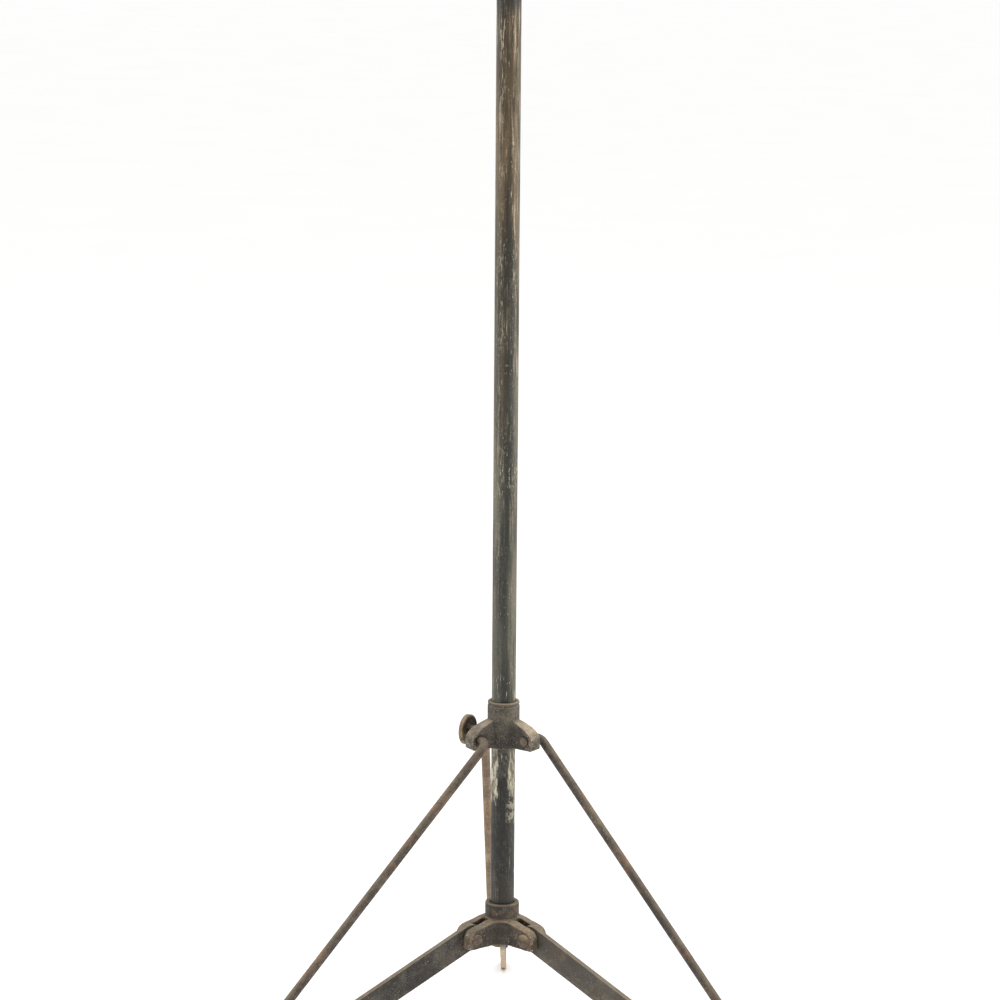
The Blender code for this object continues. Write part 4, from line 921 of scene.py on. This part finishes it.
LOOKS = {
    "cast": aged("cast_iron_grimy", [srgb(34, 30, 26), srgb(64, 57, 48), srgb(102, 90, 74)], rust=0.55, rust_at=0.575, dust_and_highlight_amount=0.75,
                 wear=0.9, rough=(0.5, 0.85), bump=0.9, tone_scale=26, speck=0.6, edges=(0.515, 0.57), ends=(0.0445, 0.0470)),
    "runner": aged("cast_iron_runner", [srgb(31, 29, 26), srgb(62, 58, 52), srgb(100, 93, 80)], rust=0.35, rust_at=0.60, dust_and_highlight_amount=0.80,
                   wear=0.95, rough=(0.5, 0.85), bump=0.9, tone_scale=28, speck=0.5, edges=(0.515, 0.565), ends=(0.033, 0.0365),
                   dust_and_highlight_rgb=srgb(206, 186, 158)),
    "leg": aged("leg_paint", [srgb(30, 28, 26), srgb(56, 52, 47), srgb(92, 85, 75)], rust=0.30, rust_at=0.60, dust_and_highlight_amount=0.42,
                wear=0.9, rough=(0.5, 0.8), bump=0.7, tone_scale=18, speck=0.45, foot=0.9),
    # the stays' dust on their upper sides is set high as a painted highlight along their tops, besides real dust
    "rod": aged("stay_rust", [srgb(38, 37, 37), srgb(68, 62, 57), srgb(112, 98, 84)], rust=0.90, rust_at=0.52, dust_and_highlight_amount=0.36,
                wear=0.3, rough=(0.4, 0.75), bump=0.7, tone_scale=30, speck=0.35, metal=0.15),
    # the rear stay's paler copy of the stay rust: painted light where that stay is lit, over its rust
    "rear_rod_painted_lit": aged("stay_rust_pale", [srgb(92, 74, 54), srgb(128, 106, 80), srgb(160, 138, 108)], rust=0.5, rust_at=0.56, dust_and_highlight_amount=0.3,
                     wear=0.3, rough=(0.5, 0.8), bump=0.7, tone_scale=34, speck=0.4, metal=0.05),
    "screw": aged("thumbscrew_bronze", [srgb(36, 29, 20), srgb(64, 54, 40), srgb(102, 88, 68)], rust=0.3, rust_at=0.60, dust_and_highlight_amount=0.40,
                  wear=0.8, wear_rgb=srgb(150, 132, 104), rough=(0.35, 0.65), bump=0.6, tone_scale=40, metal=0.25, speck=0.7),
    # the rivet heads' dust on their upper sides is set high as a painted highlight, besides real dust
    "rivet": aged("rivet_rust", [srgb(46, 38, 31), srgb(80, 68, 56), srgb(122, 104, 86)], rust=0.40, rust_at=0.54, dust_and_highlight_amount=0.85,
                  wear=0.5, rough=(0.45, 0.8), bump=0.8, tone_scale=60, metal=0.1),
    "mast": None,
    "bare": aged("inner_steel", [srgb(92, 86, 76), srgb(122, 114, 101), srgb(150, 141, 126)], rust=0.55, rust_at=0.55, dust_and_highlight_amount=0.3,
                 wear=0.3, rough=(0.28, 0.55), bump=0.3, stretch=(1, 1, 0.06), tone_scale=90, metal=0.75, speck=0.15),
    "shade": aged("shade_paint", [srgb(44, 42, 37), srgb(58, 55, 48), srgb(80, 73, 62)], rust=0.55, rust_at=0.60, dust_and_highlight_amount=0.55,
                  wear=0.6, rough=(0.38, 0.7), bump=0.4, tone_scale=12, speck=0.6),
    "brass": aged("dull_brass", [srgb(104, 80, 42), srgb(142, 112, 62), srgb(170, 138, 82)], rust=0.15, rust_at=0.64, dust_and_highlight_amount=0.25,
                  wear=0.3, wear_rgb=srgb(206, 176, 112), rough=(0.25, 0.5), bump=0.25, tone_scale=50, metal=0.9, speck=0.0),
    "bake": aged("brown_phenolic", [srgb(40, 26, 20), srgb(54, 34, 25), srgb(68, 44, 32)], rust=0.0, dust_and_highlight_amount=0.35, wear=0.3,
                 wear_rgb=srgb(96, 66, 48), rough=(0.25, 0.5), bump=0.15, tone_scale=40, specular=0.5, speck=0.1),
    "porc": aged("glazed_porcelain", [srgb(196, 188, 170), srgb(220, 214, 198), srgb(232, 227, 214)], rust=0.18, rust_at=0.62,
                 dust_and_highlight_amount=0.3, wear=0.2, wear_rgb=srgb(168, 150, 120), rough=(0.12, 0.35), bump=0.08, tone_scale=30, speck=0.0),
    "wire": aged("filament", [srgb(96, 92, 88), srgb(128, 124, 118), srgb(160, 156, 150)], rust=0.0, dust_and_highlight_amount=0.0, wear=0.1,
                 rough=(0.25, 0.45), bump=0.1, tone_scale=200, metal=0.85, speck=0.0),
    "glass": clear_glass(),
}

# ==================================================== pieces ride and replace
BODY = {}
for body, members in frame["record"]["behaviour"]["bodies"].items():
    for m in members:
        BODY[m] = body
SLOT = {s["node"]: s["material_slot"] for s in frame["record"]["subparts"]}
LOOKS["mast"] = mast_paint()


def look_for(node):
    if node == "outer_tube":
        return "mast"
    if node in ("leg_1", "leg_2", "leg_3", "yoke"):
        return "leg"
    if node.startswith("stay_foot") or node.startswith("hub_rivet"):
        return "rivet"
    if node == "runner":
        return "runner"
    if "screw" in node and not node.startswith("housing") or node.startswith("tilt_knob"):
        return "screw"
    # the rear stay takes the paler copy of the stay rust, with painted light
    if node == "stay_1":
        return "rear_rod_painted_lit"
    if node.startswith("stay_"):
        return "rod"
    return {"cast": "cast", "black": "leg", "rusty": "rod", "bare": "bare", "brass": "brass", "spun": "shade",
            "bake": "bake", "porc": "porc", "glass": "glass", "wire": "wire"}[SLOT[node]]


def rounded(ob, width, segments=2, angle=30.0):
    b = ob.modifiers.new("round", "BEVEL")
    b.width = width * MM
    b.segments = segments
    b.limit_method = "ANGLE"
    b.angle_limit = math.radians(angle)
    b.harden_normals = True
    b.use_clamp_overlap = True


def cast_skin(ob, voxel, passes):
    r = ob.modifiers.new("skin", "REMESH")
    r.mode = "VOXEL"
    r.voxel_size = voxel * MM
    r.use_smooth_shade = True
    s = ob.modifiers.new("soften", "SMOOTH")
    s.factor = 0.5
    s.iterations = passes


bpy.context.view_layer.update()
pieces = [o for o in look.objects if o.type == "MESH"]
for ob in pieces:
    node = ob.name[len("look_"):]
    world = ob.matrix_world.copy()
    ob.parent = None
    ob.matrix_world = Matrix.Identity(4)
    ob.data = ob.data.copy()
    ob.data.transform(world)
    if node in CAST_SKIN:
        cast_skin(ob, *CAST_SKIN[node])
    elif node in ROUNDED:
        ob.data.shade_smooth()
        rounded(ob, *ROUNDED[node])
    if ob.modifiers:
        bpy.context.view_layer.update()
        me = bpy.data.meshes.new_from_object(ob.evaluated_get(bpy.context.evaluated_depsgraph_get()))
        ob.modifiers.clear()
        ob.data = me
        if node in CAST_SKIN:
            me.shade_smooth()
    ob.data.materials.clear()
    ob.data.materials.append(LOOKS[look_for(node)])
    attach(ob, BODY[node])
    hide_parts(node)
for o in [o for o in look.objects if o.type == "EMPTY"]:
    bpy.data.objects.remove(o)

# ============================================================ floor and light
fm = Tree("studio_floor")
fm.done(fm.ramp(fm.noise(3.0, 3), [(0.3, (0.935, 0.935, 0.93)), (0.7, (0.95, 0.95, 0.945))]), 0.9)
fb = bmesh.new()
bmesh.ops.create_grid(fb, x_segments=4, y_segments=4, size=30.0)
fmesh = bpy.data.meshes.new("floor")
fb.to_mesh(fmesh)
fb.free()
floor = bpy.data.objects.new("studio_floor", fmesh)
bpy.context.scene.collection.objects.link(floor)
fmesh.materials.append(fm.mat)
floor.location = (0, 0, -0.0005)

world = bpy.context.scene.world or bpy.data.worlds.new("studio")
bpy.context.scene.world = world
world.use_nodes = True
wt = world.node_tree
for n in list(wt.nodes):
    wt.nodes.remove(n)
wo = wt.nodes.new("ShaderNodeOutputWorld")
wb = wt.nodes.new("ShaderNodeBackground")
wb.inputs["Color"].default_value = (1.0, 1.0, 1.0, 1.0)
wt.links.new(wb.outputs[0], wo.inputs[0])
# the room behind the camera is dimmer than the white cyclorama
wc = wt.nodes.new("ShaderNodeTexCoord")
wx = wt.nodes.new("ShaderNodeSeparateXYZ")
wr = wt.nodes.new("ShaderNodeMapRange")
wt.links.new(wc.outputs["Generated"], wx.inputs[0])
wt.links.new(wx.outputs["Y"], wr.inputs["Value"])
for k, v in zip(("From Min", "From Max", "To Min", "To Max"), (-0.8, 0.5, WORLD * 0.50, WORLD * 1.36)):
    wr.inputs[k].default_value = v
# and the backdrop itself is white all the way round
wl = wt.nodes.new("ShaderNodeLightPath")
wm = wt.nodes.new("ShaderNodeMix")
wm.data_type = "FLOAT"
wt.links.new(wl.outputs["Is Camera Ray"], wm.inputs[0])
wt.links.new(wr.outputs[0], wm.inputs[2])
wm.inputs[3].default_value = 1.1
wt.links.new(wm.outputs[0], wb.inputs["Strength"])
bpy.context.scene.view_settings.view_transform = "Standard"
bpy.context.scene.view_settings.look = "None"


def panel(name, loc, target, size, power, rgb=(1, 1, 1)):
    ld = bpy.data.lights.new(name, "AREA")
    ld.shape = "RECTANGLE"
    ld.size, ld.size_y = size
    ld.energy = power
    ld.color = rgb
    lo = bpy.data.objects.new(name, ld)
    bpy.context.scene.collection.objects.link(lo)
    lo.location = loc
    lo.rotation_euler = (Vector(target) - Vector(loc)).to_track_quat("-Z", "Y").to_euler()
    return lo


aim = (0.0, 0.0, 0.7)
panel("left_panel", (-2.6, -0.7, 1.4), aim, (1.6, 3.0), 30, (1.0, 0.97, 0.93))
panel("right_panel", (2.8, -0.8, 1.4), aim, (1.6, 3.0), 44, (1.0, 0.97, 0.93))
panel("top_panel", (0.2, -0.4, 3.6), aim, (3.0, 3.0), 34)

# ==================================================================== camera
cam_data = bpy.data.cameras.new("view")
cam_data.sensor_width = 36.0
cam_data.lens = CAM_F * 36.0 / 1000.0
cam_data.clip_end = 100.0
cam = bpy.data.objects.new("view", cam_data)
bpy.context.scene.collection.objects.link(cam)
cam.matrix_world = (Matrix.Translation((MAST_X, MAST_Y - CAM_BACK, HUB_Z * MM + CAM_UP))
                    @ Matrix.Rotation(CAM_YAW, 4, "Z") @ Matrix.Rotation(math.pi / 2 - CAM_PITCH, 4, "X")
                    @ Matrix.Rotation(CAM_ROLL, 4, "Z"))
bpy.context.scene.camera = cam
